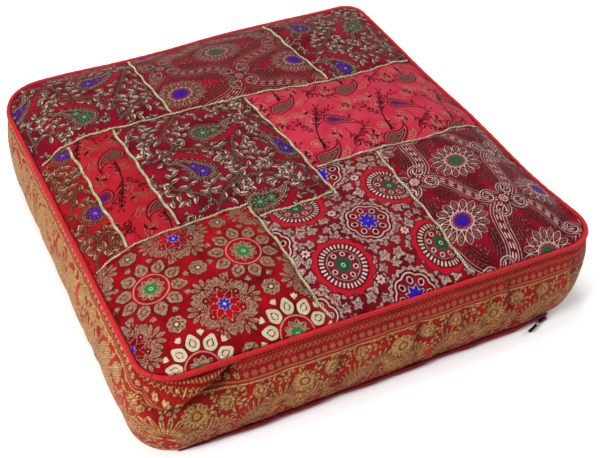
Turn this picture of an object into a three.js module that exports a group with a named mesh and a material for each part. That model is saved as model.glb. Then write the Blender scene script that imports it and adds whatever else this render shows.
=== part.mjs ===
// A square floor cushion: a filled body with a crowned patchwork top and a boxing that bulges,
// a corded edge round the top, zari braid over each patch seam and a zip along the foot of the front.
// Millimetres, +Z up. +X runs along the front from its left corner to its right one, +Y to the back.
import * as THREE from "three";
import { RoundedBoxGeometry } from "three/addons/geometries/RoundedBoxGeometry.js";

// Driving sizes
const SIDE = 500; // between the piped seams of opposite sides
const SEAM_HEIGHT = 100; // from the floor to the middle of the piping
const CROWN = 22; // of the top panel's middle above its edge
const CROWN_POWER = 6; // the higher it is, the later the crown rolls off to the edge
const PIPING_RADIUS = 3.8;
const SEAT_GAP = 0.4; // between pieces that touch
const BRAID_WIDTH = 5;
const BRAID_HEIGHT = 1.8;
const BRAID_STEP = 12;
const FLAP_HEIGHT = 6.5;
const FLAP_THICKNESS = 3;
const FLOOR_GAP = 0.6; // under the flap and the zip
const SLIDER = { width: 9, depth: 3.6, height: 4.4, round: 1, x: 194 };
const PULL = { length: 22, width: 4, thickness: 1.6, outward: 0.24, down: 0.05 };

// How finely the cloth is divided
const CELLS = 40; // along each side
const PIPING_SIDES = 8;
const FLAP_FIRST = 2; // of the front side's divisions
const FLAP_LAST = 36;

const HALF = SIDE / 2;
const SINK_START = 0.75; // share of the way to the edge from which a sunken seam pulls the top down
const TUCK_REACH = 90; // along the seam from a corner whose foot is drawn in
const FOLD_FADE = 0.9; // share of a fold's length, from its middle, at which it would fade out
const FOLD_SWELL = 0.5; // of the fold's depth, above its crease
const GROOVE_RADIUS = PIPING_RADIUS + SEAT_GAP;

// The corners of the piped seam in plan: how round each is, how far it lies off a true square,
// how far it sinks, how full the boxing is below it and how far the boxing's foot is drawn in there.
const CORNERS = {
  frontLeft: { u: -1, v: -1, radius: 32, east: -1, north: 2, down: 0, fullness: 1.15, tuck: 2 },
  frontRight: { u: 1, v: -1, radius: 42, east: -7, north: -10, down: 5, fullness: 0.65, tuck: 8 },
  backRight: { u: 1, v: 1, radius: 26, east: 4, north: 10, down: 0, fullness: 0.5, tuck: 6 },
  backLeft: { u: -1, v: 1, radius: 62, east: 3, north: -8, down: 0, fullness: 0.3, tuck: 4 },
};

// Where a side's seam wanders: the middle of the bow along the side, how far it reaches each way,
// and how far out and down it goes.
const BOWS = [
  { side: "right", at: 50, reach: 160, out: -4, down: 0 },
  { side: "right", at: -130, reach: 120, out: -1, down: 6 },
  { side: "back", at: -73, reach: 90, out: -3, down: 0 },
  { side: "back", at: 80, reach: 110, out: 3, down: 0 },
];

// The boxing's section, from the piped seam down to the floor.
const BOXING = [
  { drop: 8, out: 2.5 },
  { drop: 15, out: 6 },
  { drop: 24, out: 9.5 },
  { drop: 34, out: 12 },
  { drop: 45, out: 13.5 },
  { drop: 56, out: 14 },
  { drop: 67, out: 13.5 },
  { drop: 77, out: 12 },
  { drop: 86, out: 10 },
  { drop: 93, out: 7 },
  { drop: 98, out: 3.5 },
  { drop: SEAM_HEIGHT, out: -2 },
];

// Folds in the boxing, each a crease between two points on it with the cloth swelling above.
// Along is measured on the piped seam from the middle of the front left corner, towards the right.
const FOLDS = [
  { fromAlong: 84, fromDrop: 4, toAlong: -14, toDrop: 46, reach: 11, depth: 6 },
  { fromAlong: 372, fromDrop: 6, toAlong: 378, toDrop: 52, reach: 12, depth: 3 },
];

// The arc in which the cover wraps the piping, from the top panel's edge to the boxing's.
const GROOVE_ANGLES = [150, 182, 214, 246].map((degrees) => THREE.MathUtils.degToRad(degrees));

// Patch seams on the top panel, each by its stops in plan. An end that butts on another braid or
// runs under the piping stops short of it.
const SEAMS = [
  {
    name: "braid_back_row",
    stops: [[-243, 85], [-208, 94], [-120, 90], [0, 87], [111, 74], [171, 77], [243, 98]],
  },
  { name: "braid_back_left", stops: [[-88, 243], [-93, 170], [-88, 93]] },
  { name: "braid_back_right", stops: [[105, 243], [100, 172], [110, 78]] },
  { name: "braid_strip_left", stops: [[-211, 90], [-210, 0], [-208, -89]] },
  { name: "braid_strip_right", stops: [[-159, 88.5], [-156, 0], [-153, -86.5]] },
  { name: "braid_middle", stops: [[-1, 83], [8, -15], [12, -110]] },
  { name: "braid_middle_right", stops: [[15, -63], [89, -62], [158, -65], [243, -47]] },
  { name: "braid_middle_front", stops: [[-75, -109], [8.5, -107]] },
  { name: "braid_front_row", stops: [[-244, -100], [-208, -93], [-78, -88]] },
  { name: "braid_front_left", stops: [[-79, -91.5], [-76, -160], [-74, -209], [-67, -243]] },
  { name: "braid_front_right", stops: [[87, -66], [84, -140], [84, -211], [91, -243]] },
];

const COLOURS = {
  patchwork: { color: 0x8c1a26, roughness: 0.55 },
  piping: { color: 0xc81a20, roughness: 0.5 },
  braid: { color: 0xc9b878, roughness: 0.4, metalness: 0.35 },
  flap: { color: 0x86101f, roughness: 0.7 },
  zip: { color: 0x0c0b0c, roughness: 0.35, metalness: 0.5 },
};

// A closed surface that is built up from points, triangles and bands between rows of points.
class Skin {
  points = [];
  faces = [];

  add(point) {
    this.points.push(point);
    return this.points.length - 1;
  }

  row(points) {
    return points.map((point) => this.add(point));
  }

  triangle(a, b, c) {
    this.faces.push(a, b, c);
  }

  quad(a, b, c, d) {
    this.triangle(a, b, c);
    this.triangle(a, c, d);
  }

  // Joins two closed rows, the first above the second where the rows run counter-clockwise.
  band(upper, lower) {
    upper.forEach((_, i) => {
      const next = (i + 1) % upper.length;
      this.quad(upper[i], lower[i], lower[next], upper[next]);
    });
  }

  // Closes a row with a fan of triangles about its middle.
  cap(row, middle, flip) {
    const centre = this.add(middle);
    row.forEach((_, i) => {
      const next = row[(i + 1) % row.length];
      if (flip) this.triangle(centre, next, row[i]);
      else this.triangle(centre, row[i], next);
    });
  }

  geometry() {
    const geometry = new THREE.BufferGeometry().setFromPoints(this.points);
    geometry.setIndex(this.faces);
    geometry.computeVertexNormals();
    return geometry;
  }
}

// Smooth hump, 1 at its middle and 0 from one reach away.
function hump(distance, reach) {
  const share = Math.min(Math.abs(distance) / reach, 1);
  return (1 - share * share) ** 2;
}

// How much of a corner's unevenness reaches a place on the square.
function cornerShare(corner, u, v) {
  return ((1 + corner.u * u) * (1 + corner.v * v)) / 4;
}

// The corner of the square that a direction points to.
function cornerOf(u, v) {
  return Object.values(CORNERS).find((corner) => corner.u * u >= 0 && corner.v * v >= 0);
}

// The piped seam where the line from the middle through (u, v) crosses it, with the way out of it.
function seamAt(u, v) {
  const corner = cornerOf(u, v);
  const ray = new THREE.Vector2(u, v).divideScalar(Math.max(Math.abs(u), Math.abs(v)));
  const inset = HALF - corner.radius;
  const square = ray.clone().multiplyScalar(HALF);
  if (Math.min(Math.abs(square.x), Math.abs(square.y)) <= inset) {
    const out = new THREE.Vector2(Math.trunc(ray.x), Math.trunc(ray.y));
    return { plan: square, out, corner };
  }
  const centre = new THREE.Vector2(corner.u, corner.v).multiplyScalar(inset);
  const along = ray.dot(centre) / ray.lengthSq();
  const beyond = (centre.lengthSq() - corner.radius ** 2) / ray.lengthSq();
  const plan = ray.multiplyScalar(along + Math.sqrt(along ** 2 - beyond));
  return { plan, out: plan.clone().sub(centre).divideScalar(corner.radius), corner };
}

// How high the top panel stands over the height of its edge.
function crown(x, y) {
  const reach = HALF - GROOVE_RADIUS;
  const fall = (distance) => 1 - Math.min(Math.abs(distance) / reach, 1) ** CROWN_POWER;
  return CROWN * fall(x) * fall(y);
}

// A section round the seam: a point so far out from the seam and so far up from the piping's middle.
function offSeam(seam, out, up) {
  const inner = seam.plan.clone().addScaledVector(seam.out, -GROOVE_RADIUS);
  const rise = crown(inner.x, inner.y);
  const plan = seam.plan.clone().addScaledVector(seam.out, out);
  return new THREE.Vector3(plan.x, plan.y, SEAM_HEIGHT + rise * (1 + Math.min(up, 0) / SEAM_HEIGHT) + up);
}

// The height of the top panel's edge over the piping's middle, and how far in from it.
const EDGE = {
  out: GROOVE_RADIUS * Math.cos(GROOVE_ANGLES[0]),
  up: GROOVE_RADIUS * Math.sin(GROOVE_ANGLES[0]),
};

function topHeight(x, y) {
  return SEAM_HEIGHT + EDGE.up + crown(x, y);
}

// Moves a point of the true square to where the uneven cushion has it.
function settle(point) {
  const u = point.x / HALF;
  const v = point.y / HALF;
  const toEdge = (side) => THREE.MathUtils.smoothstep(side, SINK_START, 1);
  const move = new THREE.Vector3();
  for (const corner of Object.values(CORNERS)) {
    const share = cornerShare(corner, u, v);
    move.x += corner.east * share;
    move.y += corner.north * share;
    move.z -= corner.down * share * toEdge(Math.max(Math.abs(u), Math.abs(v)));
  }
  const sides = {
    front: { along: point.x, near: -v, x: 0, y: -1 },
    back: { along: point.x, near: v, x: 0, y: 1 },
    left: { along: point.y, near: -u, x: -1, y: 0 },
    right: { along: point.y, near: u, x: 1, y: 0 },
  };
  for (const bow of BOWS) {
    const side = sides[bow.side];
    const share = hump(side.along - bow.at, bow.reach);
    const out = bow.out * share * THREE.MathUtils.smoothstep(side.near, 0, 1);
    move.x += side.x * out;
    move.y += side.y * out;
    move.z -= bow.down * share * toEdge(side.near);
  }
  move.z *= Math.min(point.z / SEAM_HEIGHT, 1);
  return point.clone().add(move);
}

// The directions of the seam's points, counter-clockwise from the front left corner.
function seamRound() {
  const sides = [
    (t) => [t, -1],
    (t) => [1, t],
    (t) => [-t, 1],
    (t) => [-1, -t],
  ];
  const steps = Array.from({ length: CELLS }, (_, i) => -1 + (2 * i) / CELLS);
  return sides.flatMap((side) => steps.map((t) => seamAt(...side(t))));
}

// How far along the seam each of its points lies from the front left corner, to the right on the
// front and to the left on the left side.
function seamLengths(seam) {
  const whole = 4 * SIDE;
  let length = 0;
  return seam.map((point, i) => {
    if (i > 0) length += point.plan.distanceTo(seam[i - 1].plan);
    return length > whole / 2 ? length - whole : length;
  });
}

// How far a fold moves the boxing out at a point on it: in at the crease, out just above it.
function foldOut(fold, along, drop) {
  const from = new THREE.Vector2(fold.fromAlong, fold.fromDrop);
  const crease = new THREE.Vector2(fold.toAlong, fold.toDrop).sub(from);
  const point = new THREE.Vector2(along, drop).sub(from);
  const share = THREE.MathUtils.clamp(point.dot(crease) / crease.lengthSq(), 0, 1);
  const aside = point.distanceTo(crease.clone().multiplyScalar(share));
  const above = (point.x * crease.y - point.y * crease.x) / crease.length() < 0 ? 1 : -1;
  const depth = fold.depth * hump(share - 0.5, FOLD_FADE);
  return depth * (FOLD_SWELL * hump(above * aside - fold.reach, fold.reach) - hump(aside, fold.reach));
}

// How full the boxing is below a point of the seam.
function fullness({ plan }) {
  const share = (corner) => cornerShare(corner, plan.x / HALF, plan.y / HALF);
  return Object.values(CORNERS).reduce((sum, corner) => sum + corner.fullness * share(corner), 0);
}

// How far the boxing is drawn in towards its foot near a corner.
function tuck({ plan, corner }, drop) {
  const toCorner = plan.distanceTo(new THREE.Vector2(corner.u, corner.v).multiplyScalar(HALF));
  return corner.tuck * hump(toCorner, TUCK_REACH) * (drop / SEAM_HEIGHT) ** 2;
}

// How far out a row of the boxing lies below a point of the seam.
function rowOut(point, row) {
  return row.out * fullness(point) - tuck(point, row.drop);
}

// How far out the boxing lies so far above the floor, between two of its rows.
function boxingOut(point, height) {
  const drop = SEAM_HEIGHT - height;
  const below = BOXING.findIndex((row) => row.drop >= drop);
  const upper = BOXING[below - 1];
  const lower = BOXING[below];
  const share = (drop - upper.drop) / (lower.drop - upper.drop);
  return THREE.MathUtils.lerp(rowOut(point, upper), rowOut(point, lower), share);
}

// The filled body: a crowned top, a groove for the piping, the boxing and a flat foot.
function cushionBody() {
  const skin = new Skin();
  const seam = seamRound();
  const lengths = seamLengths(seam);
  const settledRow = (at) => skin.row(seam.map((point, i) => settle(at(point, i))));

  const grid = [];
  for (let j = 0; j <= CELLS; j++) {
    const line = [];
    for (let i = 0; i <= CELLS; i++) {
      const u = -1 + (2 * i) / CELLS;
      const v = -1 + (2 * j) / CELLS;
      const share = Math.max(Math.abs(u), Math.abs(v));
      const edge = share > 0 ? seamAt(u, v) : { plan: new THREE.Vector2(), out: new THREE.Vector2() };
      const plan = edge.plan.addScaledVector(edge.out, EDGE.out).multiplyScalar(share);
      line.push(skin.add(onTop(plan)));
    }
    grid.push(line);
  }
  for (let j = 0; j < CELLS; j++) {
    for (let i = 0; i < CELLS; i++) {
      skin.quad(grid[j][i], grid[j][i + 1], grid[j + 1][i + 1], grid[j + 1][i]);
    }
  }
  const edgeRow = [
    ...grid[0].slice(0, CELLS),
    ...grid.slice(0, CELLS).map((line) => line[CELLS]),
    ...grid[CELLS].slice(1).reverse(),
    ...grid.slice(1).map((line) => line[0]).reverse(),
  ];

  let last = edgeRow;
  for (const angle of GROOVE_ANGLES.slice(1)) {
    const out = GROOVE_RADIUS * Math.cos(angle);
    const up = GROOVE_RADIUS * Math.sin(angle);
    const row = settledRow((point) => offSeam(point, out, up));
    skin.band(last, row);
    last = row;
  }
  for (const boxingRow of BOXING) {
    const { drop } = boxingRow;
    const row = settledRow((point, i) => {
      const folded = FOLDS.reduce((sum, fold) => sum + foldOut(fold, lengths[i], drop), 0);
      return offSeam(point, rowOut(point, boxingRow) + folded, -drop);
    });
    skin.band(last, row);
    last = row;
  }
  skin.cap(last, new THREE.Vector3(0, 0, 0), true);
  return skin.geometry();
}

// The cord that is sewn into the seam round the top.
function piping() {
  const skin = new Skin();
  const seam = seamRound();
  const rows = Array.from({ length: PIPING_SIDES }, (_, i) => {
    const angle = (-2 * Math.PI * i) / PIPING_SIDES;
    const out = PIPING_RADIUS * Math.cos(angle);
    const up = PIPING_RADIUS * Math.sin(angle);
    const level = (point) => offSeam(point, out, 0).setZ(offSeam(point, 0, 0).z + up);
    return skin.row(seam.map((point) => settle(level(point))));
  });
  rows.forEach((row, i) => skin.band(row, rows[(i + 1) % PIPING_SIDES]));
  return skin.geometry();
}

// A strip swept along a route: a section at each step, closed at both ends.
function sweep(stations, section) {
  const skin = new Skin();
  const rows = stations.map(({ middle, aside, up }) => {
    const sideways = (across) => middle.clone().addScaledVector(aside, across);
    return skin.row(section.map(({ across, rise }) => sideways(across).addScaledVector(up, rise)));
  });
  rows.slice(1).forEach((row, i) => skin.band(row, rows[i]));
  skin.cap(rows[0], stations[0].middle, true);
  skin.cap(rows.at(-1), stations.at(-1).middle, false);
  return skin.geometry();
}

// A place on the settled top panel.
function onTop(plan) {
  return settle(new THREE.Vector3(plan.x, plan.y, topHeight(plan.x, plan.y)));
}

// A braid over a patch seam, lying on the crowned top.
function braid(stops) {
  const curve = new THREE.SplineCurve(stops.map(([x, y]) => new THREE.Vector2(x, y)));
  const steps = Math.ceil(curve.getLength() / BRAID_STEP);
  const route = curve.getSpacedPoints(steps);
  const stations = route.map((plan, i) => {
    const ahead = route[Math.min(i + 1, steps)].clone().sub(route[Math.max(i - 1, 0)]).normalize();
    const sideways = new THREE.Vector2(-ahead.y, ahead.x);
    const seat = onTop(plan);
    const aside = onTop(plan.clone().add(sideways)).sub(onTop(plan.clone().sub(sideways))).normalize();
    const onward = onTop(plan.clone().add(ahead)).sub(onTop(plan.clone().sub(ahead))).normalize();
    const up = onward.cross(aside).normalize();
    return { middle: seat.addScaledVector(up, SEAT_GAP + BRAID_HEIGHT / 2), aside, up };
  });
  const section = [
    { across: BRAID_WIDTH / 2, rise: 0 },
    { across: BRAID_WIDTH / 3, rise: BRAID_HEIGHT / 2 },
    { across: -BRAID_WIDTH / 3, rise: BRAID_HEIGHT / 2 },
    { across: -BRAID_WIDTH / 2, rise: 0 },
    { across: -BRAID_WIDTH / 3, rise: -BRAID_HEIGHT / 2 },
    { across: BRAID_WIDTH / 3, rise: -BRAID_HEIGHT / 2 },
  ];
  return sweep(stations, section);
}

// A point beside the boxing's foot: so far out from the boxing and so high over the floor.
function byFoot(point, out, height) {
  const seat = BOXING.at(-2);
  const clearHeight = Math.max(height, SEAM_HEIGHT - seat.drop);
  return settle(offSeam(point, boxingOut(point, clearHeight) + out, height - SEAM_HEIGHT));
}

// The lip of cloth that covers the zip, along the foot of the front.
function zipFlap() {
  const skin = new Skin();
  const section = [
    { out: 0, height: FLAP_HEIGHT },
    { out: 0, height: FLAP_HEIGHT / 2 },
    { out: 0, height: FLOOR_GAP },
    { out: FLAP_THICKNESS * 0.8, height: FLOOR_GAP },
    { out: FLAP_THICKNESS, height: FLAP_HEIGHT / 2 },
    { out: FLAP_THICKNESS * 0.6, height: FLAP_HEIGHT },
  ];
  const columns = seamRound().slice(FLAP_FIRST, FLAP_LAST + 1);
  const rows = columns.map((point) =>
    skin.row(section.map(({ out, height }) => byFoot(point, SEAT_GAP + out, height))),
  );
  rows.slice(1).forEach((row, i) => skin.band(rows[i], row));
  const endMiddle = (point) => byFoot(point, SEAT_GAP + FLAP_THICKNESS / 2, FLAP_HEIGHT / 2);
  skin.cap(rows[0], endMiddle(columns[0]), false);
  skin.cap(rows.at(-1), endMiddle(columns.at(-1)), true);
  return skin.geometry();
}

// Where the zip's slider stands, outside the flap, that far along the front.
function sliderPlace(x) {
  const out = FLAP_THICKNESS + 3 * SEAT_GAP + SLIDER.depth / 2;
  return byFoot(seamAt(x / HALF, -1), out, FLOOR_GAP + SLIDER.height / 2);
}

// The tab that the slider is drawn by, along +X from its root, with one round end.
function pullTab() {
  const { length, width, thickness } = PULL;
  const outline = new THREE.Shape();
  outline.moveTo(0, -width / 2);
  outline.lineTo(length - width / 2, -width / 2);
  outline.absarc(length - width / 2, 0, width / 2, -Math.PI / 2, Math.PI / 2);
  outline.lineTo(0, width / 2);
  outline.closePath();
  const options = { depth: thickness, bevelEnabled: false, curveSegments: 6 };
  return new THREE.ExtrudeGeometry(outline, options).translate(0, 0, -thickness / 2);
}

const cushion = new THREE.Group();

function addPiece(name, geometry, look) {
  const mesh = new THREE.Mesh(geometry, new THREE.MeshStandardMaterial(look));
  mesh.name = name;
  cushion.add(mesh);
  return mesh;
}

addPiece("cushion_body", cushionBody(), COLOURS.patchwork);
addPiece("piping_top", piping(), COLOURS.piping);
for (const { name, stops } of SEAMS) addPiece(name, braid(stops), COLOURS.braid);
addPiece("zip_flap", zipFlap(), COLOURS.flap);

const zip = new THREE.Group();
zip.position.copy(sliderPlace(SLIDER.x));
const along = sliderPlace(SLIDER.x + SLIDER.width).sub(sliderPlace(SLIDER.x));
zip.rotation.z = Math.atan2(along.y, along.x);
cushion.add(zip);

const sliderBox = new RoundedBoxGeometry(SLIDER.width, SLIDER.depth, SLIDER.height, 2, SLIDER.round);
zip.add(addPiece("zip_slider", sliderBox, COLOURS.zip));

const pull = addPiece("zip_pull", pullTab(), COLOURS.zip);
const pullTurn = Math.atan(PULL.outward);
pull.rotation.set(0, -Math.atan(PULL.down), Math.PI + pullTurn);
pull.position.x = -SLIDER.width / 2 - SEAT_GAP - (PULL.width / 2) * Math.sin(pullTurn);
pull.position.y = -2 * SEAT_GAP;
zip.add(pull);

const box = new THREE.Box3().setFromObject(cushion);
const middle = box.getCenter(new THREE.Vector3());
cushion.position.set(-middle.x, -middle.y, -box.min.z);

export default cushion;
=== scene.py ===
import bmesh
import bpy
import numpy as np
from mathutils import Matrix, Vector


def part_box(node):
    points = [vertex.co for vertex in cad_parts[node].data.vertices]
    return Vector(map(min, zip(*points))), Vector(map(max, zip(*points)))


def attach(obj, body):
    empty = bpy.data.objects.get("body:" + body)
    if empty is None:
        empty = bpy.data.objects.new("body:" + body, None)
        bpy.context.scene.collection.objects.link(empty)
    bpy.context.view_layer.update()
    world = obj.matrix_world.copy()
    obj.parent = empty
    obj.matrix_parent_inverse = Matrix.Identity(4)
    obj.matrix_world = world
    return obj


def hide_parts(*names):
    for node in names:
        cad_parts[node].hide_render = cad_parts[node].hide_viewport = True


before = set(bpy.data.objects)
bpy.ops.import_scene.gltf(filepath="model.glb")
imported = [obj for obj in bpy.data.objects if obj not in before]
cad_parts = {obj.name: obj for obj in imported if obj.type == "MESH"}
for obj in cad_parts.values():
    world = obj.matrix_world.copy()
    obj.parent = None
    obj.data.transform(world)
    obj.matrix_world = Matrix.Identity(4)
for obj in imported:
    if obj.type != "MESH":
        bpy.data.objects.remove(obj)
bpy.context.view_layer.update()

METRES = 0.001
FAR = 9.0  # a distance that is past every thread of the pattern

# Driving sizes of the cushion
SIDE = 500
HALF = SIDE / 2
SEAM_HEIGHT = 100
CROWN = 22
CROWN_POWER = 6
PIPING_RADIUS = 3.8
GROOVE_RADIUS = 4.2
EDGE_ANGLE = np.radians(150)
EDGE_OUT = GROOVE_RADIUS * np.cos(EDGE_ANGLE)
EDGE_UP = GROOVE_RADIUS * np.sin(EDGE_ANGLE)
SINK_START = 0.75
TUCK_REACH = 90
FLAP_THICKNESS = 3
FLOOR_GAP = 0.6
CAD_CELLS = 40  # along each side of the frame's piping
CAD_PIPING_SIDES = 8

CORNERS = [
    dict(u=-1, v=-1, radius=32, east=-1, north=2, down=0, fullness=1.15, tuck=2),
    dict(u=1, v=-1, radius=42, east=-7, north=-10, down=5, fullness=0.65, tuck=8),
    dict(u=1, v=1, radius=26, east=4, north=10, down=0, fullness=0.5, tuck=6),
    dict(u=-1, v=1, radius=62, east=3, north=-8, down=0, fullness=0.3, tuck=4),
]

BOWS = [
    dict(side="right", at=50, reach=160, out=-4, down=0),
    dict(side="right", at=-130, reach=120, out=-1, down=6),
    dict(side="back", at=-73, reach=90, out=-3, down=0),
    dict(side="back", at=80, reach=110, out=3, down=0),
]

# The boxing's section below the piping: drop from the seam and way out
BOXING_DROP = [3.8, 8, 15, 24, 34, 45, 56, 67, 77, 86, 93, 98, 100]
BOXING_OUT = [-1.7, 2.5, 6, 9.5, 12, 13.5, 14, 13.5, 12, 10, 7, 3.5, -2]

# Patch seams on the top, by their stops in plan
SEAMS = dict(
    back_row=[(-243, 85), (-208, 94), (-120, 90), (0, 87), (111, 74), (171, 77), (243, 98)],
    back_left=[(-88, 243), (-93, 170), (-88, 93)],
    back_right=[(105, 243), (100, 172), (110, 78)],
    strip_left=[(-211, 90), (-210, 0), (-208, -89)],
    strip_right=[(-159, 88.5), (-156, 0), (-153, -86.5)],
    middle=[(-1, 83), (8, -15), (12, -110)],
    middle_right=[(15, -63), (89, -62), (158, -65), (243, -47)],
    middle_front=[(-75, -109), (8.5, -107)],
    front_row=[(-244, -100), (-208, -93), (-78, -88)],
    front_left=[(-79, -91.5), (-76, -160), (-74, -209), (-67, -243)],
    front_right=[(87, -66), (84, -140), (84, -211), (91, -243)],
)

# Patches: the seams that bound each, where None is the piped edge, and its cloth
PATCHES = dict(
    back_left=dict(left=None, right="back_left", front=["back_row"], back=None, cloth="vine"),
    back_middle=dict(left="back_left", right="back_right", front=["back_row"], back=None, cloth="sun_brown"),
    back_right=dict(left="back_right", right=None, front=["back_row"], back=None, cloth="vine"),
    strip_outer=dict(
        left=None, right="strip_left", front=["front_row"], back=["back_row"], cloth="vine_red"
    ),
    strip_inner=dict(
        left="strip_left", right="strip_right", front=["front_row"], back=["back_row"], cloth="sprig_red"
    ),
    centre=dict(
        left="strip_right", right="middle", front=["front_row", "middle_front"], back=["back_row"],
        cloth="vine",
    ),
    right_middle=dict(left="middle", right=None, front=["middle_right"], back=["back_row"], cloth="sprig"),
    front_left=dict(left=None, right="front_left", front=None, back=["front_row"], cloth="petal"),
    front_middle=dict(
        left="front_left", right="front_right", front=None, back=["middle_front", "middle_right"],
        cloth="leaf",
    ),
    front_right=dict(left="front_right", right=None, front=None, back=["middle_right"], cloth="sun"),
)

# Threads of each cloth: two shades of ground and figure, and one of each other thread
THREAD_COLOURS = ("ground", "figure", "line", "field", "blue", "green", "pale")
PALETTES = dict(
    vine=dict(
        ground=(0x8E0D26, 0x5C0716), figure=(0x68443A, 0x9E7A66), line=0x1C0406,
        field=0x8E0D22, blue=0x2A22A0, green=0x127A50, pale=0xD8BEAA, outline=0.9, hatch=0.1,
    ),
    vine_red=dict(
        ground=(0xB00F1A, 0x7A0A14), figure=(0x6E3C30, 0x98684F), line=0x280A0A,
        field=0xBE141C, blue=0x3428A8, green=0x16865A, pale=0xBF9474, outline=0.85, hatch=0.15,
    ),
    sun=dict(
        ground=(0xA00C24, 0x660616), figure=(0x602C2C, 0x8A5852), line=0x24040A,
        field=0xAC1428, blue=0x241A94, green=0x0F5C3C, pale=0xE0B2A8, outline=0.95, hatch=0.1,
    ),
    sun_brown=dict(
        ground=(0xA2102C, 0x7A0A1E), figure=(0x744C3C, 0x946C58), line=0x22050A,
        field=0xA0142A, blue=0x241A94, green=0x0F5C3C, pale=0xBE8C7E, outline=0.95, hatch=0.1,
    ),
    sprig=dict(
        ground=(0xB4243A, 0xC4384C), figure=(0xB25A4A, 0xCC7E6C), line=0x2A0612,
        field=0x8A1228, blue=0x3C1464, green=0x564C3C, pale=0xCE8C78, outline=0.1, hatch=0.1,
    ),
    sprig_red=dict(
        ground=(0x9E1622, 0xB02432), figure=(0x8C3C34, 0xA65848), line=0x30070F,
        field=0x860F20, blue=0x3C1464, green=0x544838, pale=0xC87E6A, outline=0.1, hatch=0.1,
    ),
    petal=dict(
        ground=(0xAA0A16, 0x680610), figure=(0x805042, 0xAC866E), line=0x3C0A0C,
        field=0xC67E6C, blue=0x2820AA, green=0x0A7A40, pale=0xD0BEA2, outline=0.6, hatch=0.1,
    ),
    leaf=dict(
        ground=(0x981020, 0x620812), figure=(0x865C54, 0xCAA49A), line=0x28040A,
        field=0xB01626, blue=0x241CA2, green=0x0A5034, pale=0xDCBAB0, outline=0.85, hatch=0.1,
    ),
    border=dict(
        ground=(0xB81C1A, 0x901214), figure=(0xA07C44, 0xD8B878), line=0x5A0E0E,
        field=0x8C1E1A, blue=0x9E6248, green=0x86161A, pale=0xEACC92, outline=0.6, hatch=0.5,
    ),
)


# Small functions of a distance

def hump(distance, reach):
    """1 at the middle and 0 from one reach away."""
    share = np.minimum(np.abs(distance) / reach, 1)
    return (1 - share**2) ** 2


def smoothstep(value, low, high):
    share = np.clip((value - low) / (high - low), 0, 1)
    return share**2 * (3 - 2 * share)


def curve_through(stops, spacing):
    """Points along a smooth line through stops in plan, about one spacing apart."""
    stops = np.asarray(stops, float)
    padded = np.vstack([2 * stops[0] - stops[1], stops, 2 * stops[-1] - stops[-2]])
    share = np.linspace(0, 1, 40, endpoint=False)[:, None]
    pieces = []
    for before, start, end, after in zip(padded, padded[1:], padded[2:], padded[3:]):
        bend = (2 * before - 5 * start + 4 * end - after) * share**2
        twist = (3 * start - before - 3 * end + after) * share**3
        pieces.append(start + ((end - before) * share + bend + twist) / 2)
    dense = np.vstack(pieces + [stops[-1:]])
    length = np.concatenate([[0], np.cumsum(np.hypot(*np.diff(dense, axis=0).T))])
    even = np.linspace(0, length[-1], max(int(length[-1] / spacing), 2) + 1)
    return np.stack([np.interp(even, length, dense[:, k]) for k in (0, 1)], -1)


# The cushion's form

def crown(x, y):
    reach = HALF - GROOVE_RADIUS
    fall_x = 1 - np.minimum(np.abs(x) / reach, 1) ** CROWN_POWER
    fall_y = 1 - np.minimum(np.abs(y) / reach, 1) ** CROWN_POWER
    return CROWN * fall_x * fall_y


def corner_share(corner, u, v):
    return (1 + corner["u"] * u) * (1 + corner["v"] * v) / 4


def settle(points):
    """Moves points of the true square to where the uneven cushion has them."""
    x, y, z = np.moveaxis(points, -1, 0)
    u, v = x / HALF, y / HALF
    move = np.zeros_like(points)
    for corner in CORNERS:
        share = corner_share(corner, u, v)
        move[..., 0] += corner["east"] * share
        move[..., 1] += corner["north"] * share
        to_edge = smoothstep(np.maximum(np.abs(u), np.abs(v)), SINK_START, 1)
        move[..., 2] -= corner["down"] * share * to_edge
    sides = dict(right=(y, u, 0), back=(x, v, 1))
    for bow in BOWS:
        along, near, axis = sides[bow["side"]]
        share = hump(along - bow["at"], bow["reach"])
        move[..., axis] += bow["out"] * share * smoothstep(near, 0, 1)
        move[..., 2] -= bow["down"] * share * smoothstep(near, SINK_START, 1)
    move[..., 2] *= np.minimum(z / SEAM_HEIGHT, 1)
    return points + move


def seam_at(u, v):
    """Plan points of the piped seam on the lines from the middle through (u, v), and the ways out of it."""
    ray = np.stack([u, v], -1) / np.maximum(np.abs(u), np.abs(v))[..., None]
    plan = ray * HALF
    out = np.trunc(ray)
    for corner in CORNERS:
        sign = np.array([corner["u"], corner["v"]])
        inset = HALF - corner["radius"]
        here = (sign * ray >= 0).all(-1) & (np.abs(plan).min(-1) > inset)
        beam = ray[here]
        square = (beam**2).sum(-1)
        along = beam @ sign * inset / square
        beyond = (2 * inset**2 - corner["radius"] ** 2) / square
        point = beam * (along + np.sqrt(along**2 - beyond))[:, None]
        plan[here] = point
        out[here] = (point - sign * inset) / corner["radius"]
    return plan, out


def seam_round(cells):
    """The seam counter-clockwise from the front left corner, in so many cells for each side."""
    step = -1 + 2 * np.arange(cells) / cells
    one = np.ones(cells)
    u = np.concatenate([step, one, -step, -one])
    v = np.concatenate([-one, step, one, -step])
    return seam_at(u, v)


def off_seam(plan, out, outward, up):
    """Points so far out from the seam and so far up from the piping's middle."""
    inner = plan - GROOVE_RADIUS * out
    rise = crown(inner[..., 0], inner[..., 1])
    flat = plan + np.asarray(outward)[..., None] * out
    z = SEAM_HEIGHT + rise * (1 + np.minimum(up, 0) / SEAM_HEIGHT) + up
    return np.concatenate([flat, z[..., None]], -1)


def ring_round_seam(plan, out, radius, angle):
    """A line along the piping at one angle round its cord."""
    level = off_seam(plan, out, np.full(len(plan), radius * np.cos(angle)), np.zeros(len(plan)))
    return settle(level + [0, 0, radius * np.sin(angle)])


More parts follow.
